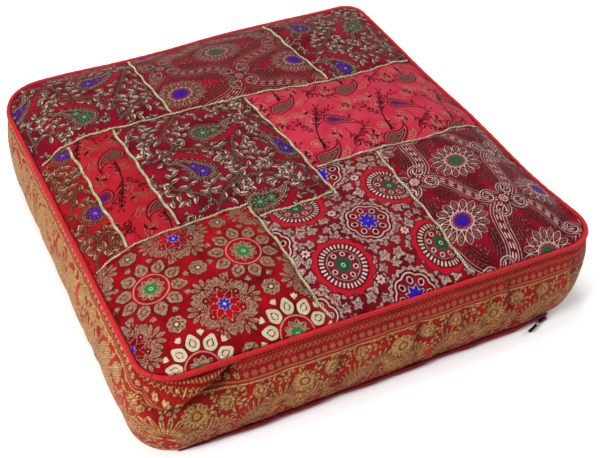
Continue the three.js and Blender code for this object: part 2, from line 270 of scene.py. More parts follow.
def frame_shift():
    """From the true square's middle to the frame's origin, told by where the frame has its piping."""
    plan, out = seam_round(CAD_CELLS)
    angles = 2 * np.pi * np.arange(CAD_PIPING_SIDES) / CAD_PIPING_SIDES
    tube = np.concatenate([ring_round_seam(plan, out, PIPING_RADIUS, angle) for angle in angles])
    low, high = (np.array(corner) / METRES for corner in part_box("piping_top"))
    return (low + high) / 2 - (tube.min(0) + tube.max(0)) / 2


SHIFT = frame_shift()


def top_point(x, y, lift=0.0):
    """Places on the crowned top, lifted off it."""
    return settle(np.stack([x, y, SEAM_HEIGHT + EDGE_UP + crown(x, y) + lift], -1))


def inside_edge(x, y):
    """How far a plan point lies inside the top panel's rounded edge."""
    inside = np.full(np.shape(x), -FAR)
    for corner in CORNERS:
        inset = HALF - corner["radius"]
        past_x, past_y = corner["u"] * x - inset, corner["v"] * y - inset
        outer = np.hypot(np.maximum(past_x, 0), np.maximum(past_y, 0))
        distance = corner["radius"] - outer - np.minimum(np.maximum(past_x, past_y), 0)
        here = (corner["u"] * x >= 0) & (corner["v"] * y >= 0)
        inside = np.where(here, distance, inside)
    return inside + EDGE_OUT


# Making meshes

def make_piece(name, points, faces, material, attributes=None):
    """A smooth mesh piece from points in millimetres and blocks of faces, which rides on the cushion."""
    mesh = bpy.data.meshes.new(name)
    blocks = [np.asarray(block, np.int32) for block in faces]
    corners = np.concatenate([block.ravel() for block in blocks])
    sizes = np.concatenate([np.full(len(block), block.shape[1]) for block in blocks])
    mesh.vertices.add(len(points))
    mesh.vertices.foreach_set("co", ((points + SHIFT) * METRES).astype(np.float32).ravel())
    mesh.loops.add(len(corners))
    mesh.loops.foreach_set("vertex_index", corners)
    mesh.polygons.add(len(sizes))
    mesh.polygons.foreach_set("loop_start", np.cumsum(sizes) - sizes)
    mesh.update(calc_edges=True)
    mesh.polygons.foreach_set("use_smooth", np.ones(len(sizes), bool))
    for key, values in (attributes or {}).items():
        kind = "FLOAT_VECTOR" if np.ndim(values) == 2 else "FLOAT"
        field = "vector" if kind == "FLOAT_VECTOR" else "value"
        mesh.attributes.new(key, kind, "POINT").data.foreach_set(field, values.astype(np.float32).ravel())
    mesh.materials.append(material)
    piece = bpy.data.objects.new(name, mesh)
    bpy.context.scene.collection.objects.link(piece)
    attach(piece, "root")
    return piece


def grid_faces(rows, columns, wrap=False, start=0):
    """Quads of a grid of points, counted along its rows; wrap joins the last column to the first."""
    index = start + np.arange(rows * columns).reshape(rows, columns)
    if wrap:
        index = np.hstack([index, index[:, :1]])
    return np.stack([index[:-1, :-1], index[:-1, 1:], index[1:, 1:], index[1:, :-1]], -1).reshape(-1, 4)


def fan_faces(ring, centre):
    """Triangles from the middle of a ring of points."""
    ring = np.asarray(ring)
    return np.stack([ring, np.roll(ring, -1), np.full(len(ring), centre)], -1)


# Drawing on flat cloth with signed distances, which are below 0 inside a shape

def folded(x, y, count, turn=0.0):
    """Coordinates along and across the nearest of so many arms that go out from the origin."""
    step = 2 * np.pi / count
    angle = (np.arctan2(y, x) - np.radians(turn) + step / 2) % step - step / 2
    radius = np.hypot(x, y)
    return radius * np.cos(angle), radius * np.sin(angle)


def disc(x, y, radius):
    return np.hypot(x, y) - radius


def ring(x, y, radius, width):
    return np.abs(np.hypot(x, y) - radius) - width / 2


def petal(along, across, start, end, width, lean=1.0):
    """A pointed petal from start to end along an arm; a lean over 1 puts its widest place nearer the end."""
    share = np.clip((along - start) / (end - start), 0, 1)
    half = width / 2 * np.sin(np.pi * share**lean) ** 0.8
    return np.maximum(np.abs(across) - half, np.abs(along - (start + end) / 2) - (end - start) / 2)


def bent_line(start, heading, length, curl, steps=8, power=1.0):
    """A line that leaves start at a heading and turns by curl on its way, both in degrees."""
    share = (np.arange(steps) + 0.5) / steps
    angle = np.radians(heading + curl * share**power)
    moves = np.stack([np.cos(angle), np.sin(angle)], -1) * length / steps
    return np.vstack([start, start + np.cumsum(moves, 0)])


def stroke(x, y, spine, halves):
    """A line drawn through a spine, with a half width at each of its points."""
    halves = np.broadcast_to(halves, len(spine))
    best = np.full(x.shape, FAR)
    for start, end, half, half_end in zip(spine, spine[1:], halves, halves[1:]):
        way = end - start
        share = np.clip(((x - start[0]) * way[0] + (y - start[1]) * way[1]) / max(way @ way, 1e-6), 0, 1)
        distance = np.hypot(x - start[0] - share * way[0], y - start[1] - share * way[1])
        best = np.minimum(best, distance - half - (half_end - half) * share)
    return best


class Cloth:
    """A flat piece of brocade, with the distance to where each colour of thread shows."""

    THREADS = ("figure", "line", "field", "blue", "green", "pale")

    def __init__(self, xs, ys):
        self.xs, self.ys = xs, ys
        self.x, self.y = np.meshgrid(xs, ys)
        self.threads = {thread: np.full(self.x.shape, FAR) for thread in self.THREADS}

    def near(self, x, y, reach):
        """The part of the cloth round a place, and its coordinates from there."""
        columns = slice(*np.searchsorted(self.xs, (x - reach, x + reach)))
        rows = slice(*np.searchsorted(self.ys, (y - reach, y + reach)))
        here = (rows, columns)
        return here, self.x[here] - x, self.y[here] - y

    def weave(self, thread, here, shape, gap=0.0):
        """Shows a thread inside a shape, over the others, with a gap to the same thread that it lies on."""
        for other, distance in self.threads.items():
            margin = gap if other == thread else 0.0
            if margin or other != thread:
                distance[here] = np.maximum(distance[here], margin - shape)
        self.threads[thread][here] = np.minimum(self.threads[thread][here], shape)

    def clear(self, here, shape, margin=0.0):
        """Takes every thread away inside a shape and its margin."""
        for distance in self.threads.values():
            distance[here] = np.maximum(distance[here], margin - shape)

    def draw(self, thread, spine, halves, gap=0.0):
        """Weaves a line along a spine."""
        middle = (spine.min(0) + spine.max(0)) / 2
        reach = np.ptp(spine, 0).max() / 2 + np.max(halves) + 3
        here, x, y = self.near(*middle, reach)
        self.weave(thread, here, stroke(x, y, spine - middle, halves), gap)

    def covers(self, x, y, margin):
        in_x = self.xs[0] - margin < x < self.xs[-1] + margin
        return in_x and self.ys[0] - margin < y < self.ys[-1] + margin

    def depth(self, thread, x, y):
        """A thread's distance at the nearest point of the cloth."""
        column = np.clip(np.searchsorted(self.xs, x), 0, len(self.xs) - 1)
        row = np.clip(np.searchsorted(self.ys, y), 0, len(self.ys) - 1)
        return self.threads[thread][row, column]


def lattice(cloth, origin, a, b, margin, reach=4):
    """Places of a lattice on the cloth or within a margin of it, with their steps along a and b."""
    for i in range(-reach, reach + 1):
        for j in range(-reach, reach + 1):
            x, y = np.array(origin) + i * np.array(a) + j * np.array(b)
            if cloth.covers(x, y, margin):
                yield x, y, i, j


# Leafy vines with paisleys

VINE_STEMS = dict(
    back_left=[
        [(-147, 101), (-143, 117), (-147, 139), (-161, 155), (-183, 167), (-192, 195), (-197, 212),
         (-215, 205)],
        [(-147, 101), (-133, 112), (-113, 123)],
        [(-146, 128), (-133, 150), (-117, 178), (-104, 205)],
        [(-242, 107), (-240, 122), (-241, 141), (-236, 160), (-224, 178)],
        [(-240, 116), (-227, 122), (-209, 114)],
        [(-183, 167), (-204, 170), (-216, 160)],
        [(-160, 222), (-140, 226), (-118, 236)],
    ],
    back_right=[
        [(108, 138), (126, 134), (157, 160), (175, 192), (200, 215), (226, 232)],
        [(126, 134), (146, 124), (166, 128)],
        [(240, 106), (212, 100), (186, 112), (170, 108)],
        [(240, 112), (238, 148), (234, 190), (226, 218)],
        [(157, 160), (150, 180), (156, 214), (140, 232)],
        [(212, 102), (214, 122), (204, 134)],
    ],
    strip_outer=[
        [(-240, -92), (-228, -66), (-236, -44)],
        [(-244, -14), (-232, 6), (-222, 28), (-232, 52)],
        [(-228, 8), (-240, 26), (-242, 52)],
        [(-228, -66), (-216, -58), (-220, -78)],
    ],
    centre=[
        [(-110, -85), (-91, -62), (-62, -40), (-59, -25), (-64, -9), (-77, 5), (-98, 12), (-113, 23),
         (-114, 50), (-98, 69), (-88, 83)],
        [(-62, -40), (-58, -13), (-50, 12), (-36, 28)],
        [(-91, -62), (-62, -52), (-42, -56), (-22, -70)],
        [(-107, -79), (-111, -66), (-122, -54), (-138, -40)],
        [(2, -98), (-1, -72), (-6, -50), (-24, -42)],
        [(0, -91), (-13, -90), (-28, -84)],
        [(6, 10), (-6, 28), (-8, 48), (-12, 73)],
        [(-7, 34), (-22, 44), (-38, 66)],
        [(-114, 44), (-132, 42), (-146, 58)],
        [(-113, 23), (-134, 10), (-150, 16)],
    ],
)

# Head of each paisley, the way its tail goes and its colour
PAISLEYS = dict(
    back_left=[(-155, 187, 40, "blue"), (-180, 123, 146, "green"), (-246, 186, 60, "blue")],
    back_right=[(205, 178, -113, "green"), (133, 190, 128, "blue"), (139, 86, 136, "blue")],
    strip_outer=[(-220, 80, 30, "blue"), (-219, -26, 30, "blue")],
    centre=[
        (-75, 34, 25, "green"), (-101, -27, 143, "blue"), (-66, -91, 28, "green"), (-2, -23, 130, "blue"),
    ],
)
PAISLEY_HEAD = 13
PAISLEY_TAIL = 43
LEAF_GAP = 1.0
BRANCH_SPACING = 9.5
BRANCH_LEAVES = ((2, 44), (3, -44), (5, 38))  # points of a branch with leaves, and the leaves' turn


def vine_leaf(cloth, base, heading, length, width, curl):
    """A curled leaf with a dark vein, pale on the outside of its curl."""
    spine = bent_line(base, heading, length, curl)
    share = np.linspace(0.03, 0.97, len(spine))
    halves = 0.5 * width * np.sin(np.pi * share**0.8)
    cloth.draw("figure", spine, halves, LEAF_GAP)
    angle = np.radians(heading + curl * share - 90 * np.sign(curl))
    outside = np.stack([np.cos(angle), np.sin(angle)], -1)
    edge = spine + 0.5 * halves[:, None] * outside
    cloth.draw("pale", edge[3:-1], 0.36 * halves[3:-1])
    cloth.draw("line", spine[:-2], 0.4)


def vine_branch(cloth, start, heading, length, curl):
    """A short curved branch with leaves on both sides and at its end."""
    spine = bent_line(start, heading, length, curl, 6)
    cloth.draw("figure", spine, 0.6, LEAF_GAP)
    for place, turn in BRANCH_LEAVES:
        ahead = heading + curl * place / 6
        vine_leaf(cloth, spine[place], ahead + turn, 0.62 * length, 5.4, 0.9 * turn)
    vine_leaf(cloth, spine[-1], heading + curl, 0.7 * length, 5.8, 0.6 * curl)


def vine_stem(cloth, stops, rng):
    """A stem in two strands, with branches by turns on each side and one at its end."""
    spine = curve_through(stops, BRANCH_SPACING)
    ahead = np.degrees(np.arctan2(*np.gradient(spine, axis=0).T[::-1]))
    side = 1
    for place, heading in zip(spine[1:], ahead[1:]):
        side = -side
        turn = side * rng.uniform(30, 50)
        vine_branch(cloth, place, heading + turn, rng.uniform(15, 22), side * rng.uniform(20, 60))
    vine_branch(cloth, spine[-1], ahead[-1], 14, 25)
    cloth.draw("figure", spine, 1.3, LEAF_GAP)
    cloth.draw("line", spine, 0.4)


def leaf_fill(cloth, rng, spacing, room, lengths, widths, leaf):
    """Small fans of leaves wherever the cloth has room for them."""
    for y in np.arange(cloth.ys[0], cloth.ys[-1], spacing):
        for x in np.arange(cloth.xs[0], cloth.xs[-1], spacing):
            place = np.array([x, y]) + rng.uniform(-0.3, 0.3, 2) * spacing
            heading = rng.uniform(0, 360)
            if min(cloth.depth("figure", *place), cloth.depth("pale", *place)) < room:
                continue
            for turn in (-64, 0, 64):
                length, width = rng.uniform(*lengths), rng.uniform(*widths)
                leaf(cloth, place, heading + turn, length, width, 0.5 * turn + 6)


def vine_paisley(cloth, x, y, heading, colour):
    """A paisley with a toothed rim and flowers in its head, beside a bare patch of ground."""
    spine = bent_line((0, 0), heading - 30, PAISLEY_TAIL, 75, 10, 1.7)
    share = np.linspace(0, 1, len(spine))
    here, dx, dy = cloth.near(x, y, PAISLEY_TAIL + PAISLEY_HEAD)
    body = stroke(dx, dy, spine, PAISLEY_HEAD * (1 - share) ** 1.05)
    beside = np.radians(heading - 75)
    bare_x, bare_y = dx - 11 * np.cos(beside), dy - 11 * np.sin(beside)
    bare = stroke(bare_x, bare_y, spine[:-2], PAISLEY_HEAD * (1 - share[:-2]) ** 0.8)
    cloth.weave("field", here, np.minimum(bare, body - 4))
    angle = np.arctan2(dy, dx)
    teeth = np.maximum(np.abs(body - 2.1) - 1.1, 0.9 * np.cos(28 * angle))
    cloth.weave("figure", here, teeth)
    cloth.weave("line", here, body - 0.7)
    cloth.weave("pale", here, body)
    cloth.weave("line", here, body + 0.9)
    cloth.weave("figure", here, body + 1.7)
    cloth.weave("field", here, body + 3.2)
    cloth.weave("figure", here, np.maximum(np.abs(body + 4.6) - 0.8, 0.8 * np.cos(17 * angle + 1)))
    flower = np.hypot(dx, dy) - PAISLEY_HEAD * (0.56 + 0.07 * np.cos(9 * angle))
    bud_x, bud_y = 0.85 * (spine[3] + spine[4]) / 2
    bud_along, bud_across = folded(dx - bud_x, dy - bud_y, 6)
    bud = petal(bud_along, bud_across, 0, PAISLEY_HEAD * 0.34, 3.4)
    cloth.weave("line", here, np.minimum(flower, bud) - 0.7)
    cloth.weave(colour, here, np.minimum(flower, bud))
    along, across = folded(dx, dy, 9, 20)
    cloth.weave("line", here, petal(along, across, 2.4, 7.4, 1.5))
    along, across = folded(dx, dy, 9)
    cloth.weave("pale", here, np.hypot(along - 5.2, across) - 0.5)
    cloth.weave("pale", here, ring(dx, dy, 1.3, 0.8))
    cloth.weave("pale", here, np.hypot(bud_along, bud_across) - 0.8)


def paint_vine(cloth, name, rng):
    for stops in VINE_STEMS[name]:
        vine_stem(cloth, stops, rng)
    leaf_fill(cloth, rng, 9, 5.0, (7, 10), (3, 4), vine_leaf)
    for place in PAISLEYS[name]:
        vine_paisley(cloth, *place)


# Sunflowers in a lattice of curved bars

SUN_LATTICES = dict(
    back_middle=dict(origin=(10, 184), a=(76, 65), b=(78, -59), oval=(1, 0)),
    front_right=dict(origin=(155, -117), a=(73, -54), b=(-46, -77), oval=(1, 0.3)),
)
SUN_CENTRE = (11, 8.5)
SUN_PETALS = 16
SUN_REACH = 27


def sunflower(cloth, x, y, colour, turn):
    """Long petals round an oval heart."""
    here, dx, dy = cloth.near(x, y, SUN_REACH + 8)
    cos, sin = np.cos(np.radians(turn)), np.sin(np.radians(turn))
    px = (dx * cos + dy * sin) * SUN_CENTRE[1] / SUN_CENTRE[0]
    py = dy * cos - dx * sin
    scale = np.sqrt(SUN_CENTRE[0] / SUN_CENTRE[1])
    px, py = px * scale, py * scale
    heart = SUN_CENTRE[1]
    cloth.clear(here, disc(px, py, SUN_REACH + 2.5))
    along, across = folded(px, py, SUN_PETALS)
    shape = petal(along, across, heart + 3.0, SUN_REACH + 1.5, 8.2, 1.4)
    cloth.weave("pale", here, shape)
    cloth.weave("line", here, shape + 1.05)
    cloth.weave("figure", here, shape + 2.0)
    cloth.weave("field", here, disc(px, py, heart + 3.2))
    cloth.weave("pale", here, ring(px, py, heart + 3.4, 1.3))
    dashes = np.abs(folded(px, py, 22)[1]) - 0.7
    cloth.weave("pale", here, np.maximum(ring(px, py, heart + 1.4, 1.1), dashes))
    along, across = folded(px, py, 10, 12)
    cloth.weave(colour, here, np.minimum(petal(along, across, 1, heart, 5.2), disc(px, py, heart * 0.6)))
    cloth.weave("line", here, petal(along, across, 2.8, 5.8, 1.1))


def rosette(cloth, x, y, reach, thread):
    """A flower of seven round petals."""
    here, dx, dy = cloth.near(x, y, reach + 3)
    cloth.clear(here, disc(dx, dy, reach + 1))
    along, across = folded(dx, dy, 7)
    shape = petal(along, across, reach * 0.1, reach, reach * 0.8, 1.6)
    cloth.weave("line", here, shape - 0.5)
    cloth.weave(thread, here, shape + 0.5)
    cloth.weave("line", here, petal(along, across, reach * 0.45, reach * 0.8, 1.1))
    cloth.weave("line", here, disc(dx, dy, reach * 0.3))
    cloth.weave("pale", here, disc(dx, dy, reach * 0.2))


def scroll(cloth, start, heading, curl, length):
    """A line that winds in to a curl, with a second line along its back."""
    spine = bent_line(start, heading, length, curl, 22, 1.3)
    ahead = np.gradient(spine, axis=0)
    ahead /= np.hypot(*ahead.T)[:, None]
    back = np.stack([ahead[:, 1], -ahead[:, 0]], -1) * np.sign(curl)
    cloth.draw("line", spine, 1.6)
    cloth.draw("pale", (spine + 2.8 * back)[:12], 0.5)
    cloth.draw("pale", spine, np.linspace(0.45, 0.85, len(spine)))


# Lines beside a bar: how far from its middle, half width and thread
BAR_LINES = [
    (4.6, 0.45, "pale"), (8.0, 0.4, "pale"),
    (14.5, 0.45, "figure"), (18.0, 0.45, "figure"), (21.5, 0.4, "figure"),
]
BAR_DOTS = 11.5


def bar(cloth, start, end, sway):
    """A curved bar of dashes between two lines, with more lines and dots outside them."""
    way = end - start
    length = np.hypot(*way)
    side = np.array([-way[1], way[0]]) / length
    share = np.linspace(0.07, 0.93, 53)
    middle = start + share[:, None] * way + (sway * np.sin(2 * np.pi * share))[:, None] * side
    for offset, half, thread in BAR_LINES:
        for sign in (-1, 1):
            inset = int(0.5 * offset)
            cloth.draw(thread, (middle + sign * offset * side)[inset:-inset], half)
    for first in range(1, 50, 6):
        for offset in (-1.7, 1.7):
            cloth.draw("pale", middle[first : first + 4] + offset * side, 0.75)
    for sign in (-1, 1):
        for place in middle[6:-6:3] + sign * BAR_DOTS * side:
            cloth.draw("figure", np.array([place, place + 0.2]), 0.9)


def corner_hooks(cloth, x, y, towards):
    """Two hooks beside a rosette, on its way to a flower."""
    way = towards / np.hypot(*towards)
    side = np.array([-way[1], way[0]])
    heading = np.degrees(np.arctan2(way[1], way[0]))
    for sign in (-1, 1):
        start = np.array([x, y]) + 7 * way + sign * 4 * side
        scroll(cloth, start, heading + sign * 8, sign * 420, 46)


def paint_sun(cloth, name, rng):
    rule = SUN_LATTICES[name]
    a, b = np.array(rule["a"]), np.array(rule["b"])
    turn = np.degrees(np.arctan2(*rule["oval"][::-1]))
    crossings = list(lattice(cloth, np.array(rule["origin"]) + (a + b) / 2, a, b, 110))
    for x, y, *_ in crossings:
        corner = np.array([x, y])
        bar(cloth, corner, corner + a, 8)
        bar(cloth, corner, corner + b, -8)
    leaf_fill(cloth, rng, 8, 3.6, (4, 6), (2.0, 2.8), plain_leaf)
    for x, y, *_ in crossings:
        for towards in ((a + b) / 2, -(a + b) / 2):
            corner_hooks(cloth, x, y, towards)
        rosette(cloth, x, y, 6, "pale")
    for x, y, i, j in lattice(cloth, rule["origin"], a, b, 44):
        sunflower(cloth, x, y, "blue" if (i + j) % 2 else "green", turn)


def plain_leaf(cloth, base, heading, length, width, curl):
    spine = bent_line(base, heading, length, curl, 6)
    cloth.draw("figure", spine, width / 2 * np.sin(np.pi * np.linspace(0.05, 0.97, len(spine))), LEAF_GAP)


# Twigs with teardrops and outlined paisleys

SPRIG_RULES = dict(
    right_middle=dict(origin=(68, -2), turn=0),
    strip_inner=dict(origin=(-203, -11), turn=187),
)
SPRIG_A = (85.5, 0)
SPRIG_B = (6, -97)
SPRIG_PAISLEY = (42, 44)

# Parts of one sprig, from the head of its teardrop: stops, pairs of leaves and half width of each twig
SPRIG_TWIGS = [
    ([(-33, -44), (-26, -12), (-15, 10), (-5, 28)], 7, 0.85),
    ([(-27, -16), (-35, -2), (-38, 10)], 6, 0.55),
    ([(-20, 2), (-6, 14), (7, 20)], 6, 0.55),
    ([(-24, -8), (-14, 0), (-8, 1)], 0, 0.6),
    ([(5, -18), (9, -40), (24, -56), (40, -54)], 9, 0.6),
    ([(9, -40), (20, -34), (30, -22)], 6, 0.5),
    ([(19, 33), (27, 20), (38, 8)], 4, 0.5),
    ([(52, -20), (58, -32), (54, -42)], 4, 0.5),
    ([(-14, 40), (-4, 46), (2, 58)], 3, 0.5),
    ([(12, 66), (22, 54), (30, 52)], 3, 0.5),
]
SPRIG_LEAVES = [((-14, -21), -40), ((31, -40), 60), ((61, 20), 20), ((-6, -34), 80), ((20, -6), 60)]
SPRIG_SWIRLS = [
    ((-12, -28), 9), ((30, -44), 10), ((22, 14), 8), ((62, 4), 10), ((-32, 22), 8),
    ((12, 44), 9), ((-24, 44), 8), ((48, -30), 8), ((4, 6), 7), ((34, 26), 7),
]


def outlined_drop(cloth, x, y, heading, head, tail, curl, core):
    """A drop in rings of line, ground and pale thread round a coloured core."""
    here, dx, dy = cloth.near(x, y, head + tail)
    spine = bent_line((0, 0), heading, tail, curl, 10, 1.3)
    share = np.linspace(0, 1, len(spine))
    body = stroke(dx, dy, spine, head * (1 - share) ** 1.15)
    cloth.clear(here, body, 1.2)
    cloth.weave("line", here, body)
    cloth.weave("field", here, body + 1.3)
    cloth.weave("pale", here, body + 2.6)
    cloth.weave("line", here, body + 3.3)
    cloth.weave("figure", here, body + 4.8)
    cloth.weave(core, here, body + 5.4)
    cloth.weave("line", here, np.abs(body + 7.6) - 0.5)


def twig(cloth, stops, leaves, half):
    """A thin line with small leaves along its end."""
    spine = curve_through(stops, 5.6)
    cloth.draw("line", spine, half)
    ahead = np.degrees(np.arctan2(*np.gradient(spine, axis=0).T[::-1]))
    for place in range(len(spine) - 1, max(len(spine) - 1 - leaves, 0), -1):
        for side in (-48, 48):
            leaf = bent_line(spine[place], ahead[place] + side, 5 + 1.6 * (place % 3), -0.7 * side, 4)
            cloth.draw("line", leaf, np.array([0.35, 0.4, 0.8, 1.0, 0.3]))


def swirl(cloth, x, y, size, turn):
    """A faint tan comma in two outlines."""
    here, dx, dy = cloth.near(x, y, 3 * size)
    spine = bent_line((0, 0), turn, 2.2 * size, 150, 8)
    edge = stroke(dx, dy, spine, 0.6 * size * (1 - np.linspace(0, 1, len(spine))) ** 0.8)
    cloth.weave("figure", here, np.abs(edge) - 0.8)
    cloth.weave("figure", here, edge + 0.3 * size)


def paint_sprig(cloth, name, rng):
    rule = SPRIG_RULES[name]
    angle = np.radians(rule["turn"])
    spin = np.array([[np.cos(angle), np.sin(angle)], [-np.sin(angle), np.cos(angle)]])
    a, b = np.array(SPRIG_A) @ spin, np.array(SPRIG_B) @ spin
    places = [np.array(place[:2]) for place in lattice(cloth, rule["origin"], a, b, 90)]
    for place in places:
        for centre, size in SPRIG_SWIRLS:
            swirl(cloth, *(place + np.array(centre) @ spin), size, 40 * size + rule["turn"])
    for place in places:
        for stops, leaves, half in SPRIG_TWIGS:
            twig(cloth, np.array(stops, float) @ spin + place, leaves, half)
        for centre, heading in SPRIG_LEAVES:
            leaf = bent_line(np.array(centre) @ spin + place, heading + rule["turn"], 9, 20, 5)
            cloth.draw("line", leaf, np.array([0.3, 1.1, 1.5, 1.3, 0.8, 0.3]))
    for place in places:
        outlined_drop(cloth, *place, -22 + rule["turn"], 10, 40, -36, "blue")
        paisley = place + np.array(SPRIG_PAISLEY) @ spin
        outlined_drop(cloth, *paisley, 2 + rule["turn"], 11, 38, 95, "green")


# Medallions of tan petals

PETAL_LATTICE = dict(origin=(-114, -152), a=(94, 4), b=(-11, 95))
PAINTED_SHEEN_FRONT = -190  # the medallions nearer the front than this are in pale thread, a painted sheen where the crown rolls down at the front


def spade(along, across, half_width, half_length):
    """A petal with a round foot and a pointed tip."""
    share = np.clip(along / half_length, -1, 1)
    round_foot = np.sqrt(1 - np.minimum(share, 0) ** 2)
    tip = (1 - np.maximum(share, 0)) ** 0.62
    return np.maximum(np.abs(across) - half_width * round_foot * tip, np.abs(along) - half_length)


def petal_medallion(cloth, x, y, thread):
    """A ring of ten petals with small sprays outside, round a flower with a green heart."""
    here, dx, dy = cloth.near(x, y, 44)
    cloth.clear(here, disc(dx, dy, 37))
    along, across = folded(dx, dy, 10, 18)
    drop = spade(along - 26, across, 7.6, 8.8)
    cloth.weave("line", here, drop)
    cloth.weave(thread, here, drop + 1.0)
    cloth.weave("line", here, np.abs(petal(along, across, 21.5, 29, 5.6, 0.8)) - 0.55)
    cloth.weave("field", here, ring(dx, dy, 16.5, 1.3))
    along, across = folded(dx, dy, 10)
    fleur = petal(along, across, 30.5, 37.5, 3)
    wing_along = along * 0.8 + np.abs(across) * 0.6 - 7
    wing_across = np.abs(across) * 0.8 - along * 0.6 + 19.2
    wings = petal(wing_along, wing_across, 18, 24, 2.4)
    cloth.weave(thread, here, np.minimum(fleur, wings))
    cloth.weave("figure", here, np.minimum(petal(along, across, 2, 13.6, 7), disc(dx, dy, 8)))
    cloth.weave("line", here, petal(along, across, 8.4, 12.4, 1.1))
    along, across = folded(dx, dy, 8, 10)
    cloth.weave("green", here, np.minimum(petal(along, across, 1, 6.6, 4), disc(dx, dy, 3.6)))
    cloth.weave("pale", here, ring(dx, dy, 1.6, 1.0))


def snowflake(cloth, x, y):
    """A small flower in a star, in a wreath of carnations that open outward."""
    here, dx, dy = cloth.near(x, y, 44)
    radius, angle = np.hypot(dx, dy), np.arctan2(dy, dx)
    for turn, reach, size in ((30, 17, 12), (0, 21, 15)):
        along, across = folded(dx, dy, 6, turn)
        out, side = folded(along - reach, across, 11, 0)
        fan = np.maximum(petal(out, side, size * 0.25, size, size * 0.27, 1.35), reach - along - 4)
        cloth.weave("figure", here, fan)
        rib = petal(out, side, size * 0.45, size * 0.8, 0.6)
        cloth.weave("line", here, np.maximum(rib, reach - along - 3))
        cloth.weave("field", here, np.hypot(along - reach, across) - 1.0)
    zigzag = 8.5 + 8.0 * np.abs(((angle * 8 / np.pi) % 2) - 1)
    cloth.clear(here, radius - zigzag, 1.2)
    cloth.weave("field", here, np.abs(radius - zigzag) - 0.7)
    along, across = folded(dx, dy, 8, 22.5)
    cloth.weave("pale", here, petal(along, across, 0.3, 7.6, 4.2))
    cloth.weave("blue", here, petal(along, across, 0.9, 6.9, 3.0))
    cloth.weave("pale", here, disc(dx, dy, 1.2))


def paint_petal(cloth, name, rng):
    rule = PETAL_LATTICE
    a, b = np.array(rule["a"]), np.array(rule["b"])
    origin = np.array(rule["origin"])
    for x, y, *_ in lattice(cloth, origin + (a + b) / 2, a, b, 40):
        snowflake(cloth, x, y)
    for x, y, *_ in lattice(cloth, origin, a, b, 44):
        # Painted sheen: the medallions at the front are in pale thread
        petal_medallion(cloth, x, y, "pale" if y < PAINTED_SHEEN_FRONT else "figure")
    for half in (a / 2, b / 2):
        for x, y, *_ in lattice(cloth, origin + half, a, b, 12):
            rosette(cloth, x, y, 9.5, "figure")


# Round medallions among star leaves

LEAF_LATTICE = dict(origin=(67, -123), a=(105, -8), b=(-6, 86))
STAR_PITCH = 13.6


def ray_medallion(cloth, x, y):
    """A scalloped disc of pale rays, round a green flower in a ring of eyelets."""
    here, dx, dy = cloth.near(x, y, 36)
    angle = np.arctan2(dy, dx)
    halo = np.hypot(dx, dy) - 30 - 1.3 * np.cos(13 * angle)
    cloth.clear(here, halo, 0.6)
    cloth.weave("line", here, halo - 0.6)
    cloth.clear(here, halo)
    cloth.weave("field", here, halo)
    cloth.clear(here, disc(dx, dy, 17))
    cloth.weave("line", here, ring(dx, dy, 24.4, 0.8))
    along, across = folded(dx, dy, 34)
    cloth.weave("line", here, np.maximum(np.abs(along - 20.8) - 3.2, np.abs(across) - 1.6))
    cloth.weave("pale", here, np.maximum(np.abs(along - 21) - 2.6, np.abs(across) - 0.95))
    cloth.weave("figure", here, ring(dx, dy, 16, 1.1))
    along, across = folded(dx, dy, 8, 22)
    cloth.weave("pale", here, np.abs(np.hypot(along - 12, across) - 2.2) - 0.6)
    cloth.weave("line", here, np.hypot(along - 12, across) - 1.3)
    along, across = folded(dx, dy, 8)
    cloth.weave("green", here, np.minimum(petal(along, across, 1, 9.2, 4.6), disc(dx, dy, 4.4)))
    cloth.weave("pale", here, ring(dx, dy, 1.8, 1.0))


def loop_medallion(cloth, x, y):
    """A toothed rim and a scalloped line, round a blue flower among pale loops."""
    here, dx, dy = cloth.near(x, y, 34)
    angle = np.arctan2(dy, dx)
    radius = np.hypot(dx, dy)
    rim = radius - 28 - 1.2 * np.cos(24 * angle)
    cloth.clear(here, rim, 0.8)
    cloth.weave("figure", here, np.abs(rim + 2.4) - 1.9)
    scallop = radius - 20.5 - 2.4 * np.abs(np.cos(4 * angle))
    cloth.weave("line", here, np.abs(scallop - 0.8) - 0.6)
    cloth.weave("pale", here, np.abs(scallop + 0.9) - 0.7)
    along, across = folded(dx, dy, 8)
    cloth.weave("pale", here, np.abs(np.hypot(along - 15, across * 1.2) - 3.2) - 0.6)
    cloth.weave("line", here, np.hypot(along - 15, across) - 1.7)
    along, across = folded(dx, dy, 8, 22.5)
    cloth.weave("pale", here, petal(along, across, 0, 11.5, 6))
    cloth.weave("blue", here, petal(along, across, 0.4, 10.6, 4.4))


def star_leaf(cloth, x, y, turn, size):
    """A leaf of five points, the first one longest."""
    here, dx, dy = cloth.near(x, y, 1.4 * size + 3)
    longest = 1 + 0.3 * np.cos(np.arctan2(dy, dx) - np.radians(turn))
    along, across = folded(dx / longest, dy / longest, 5, turn)
    star = np.minimum(petal(along, across, -1, size, size * 0.62), disc(dx, dy, size * 0.32))
    cloth.weave("figure", here, star, 1.6)
    cloth.weave("pale", here, np.maximum(petal(along, across, 1, size * 0.8, size * 0.36), -across))
    cloth.weave("line", here, petal(along, across, 0.5, size * 0.6, 0.7))


def floret(cloth, x, y, reach):
    """A small pale flower of thin petals."""
    here, dx, dy = cloth.near(x, y, reach + 2)
    along, across = folded(dx, dy, 7)
    cloth.clear(here, disc(dx, dy, reach), 1.0)
    cloth.weave("pale", here, petal(along, across, 1, reach, reach * 0.45, 1.3))


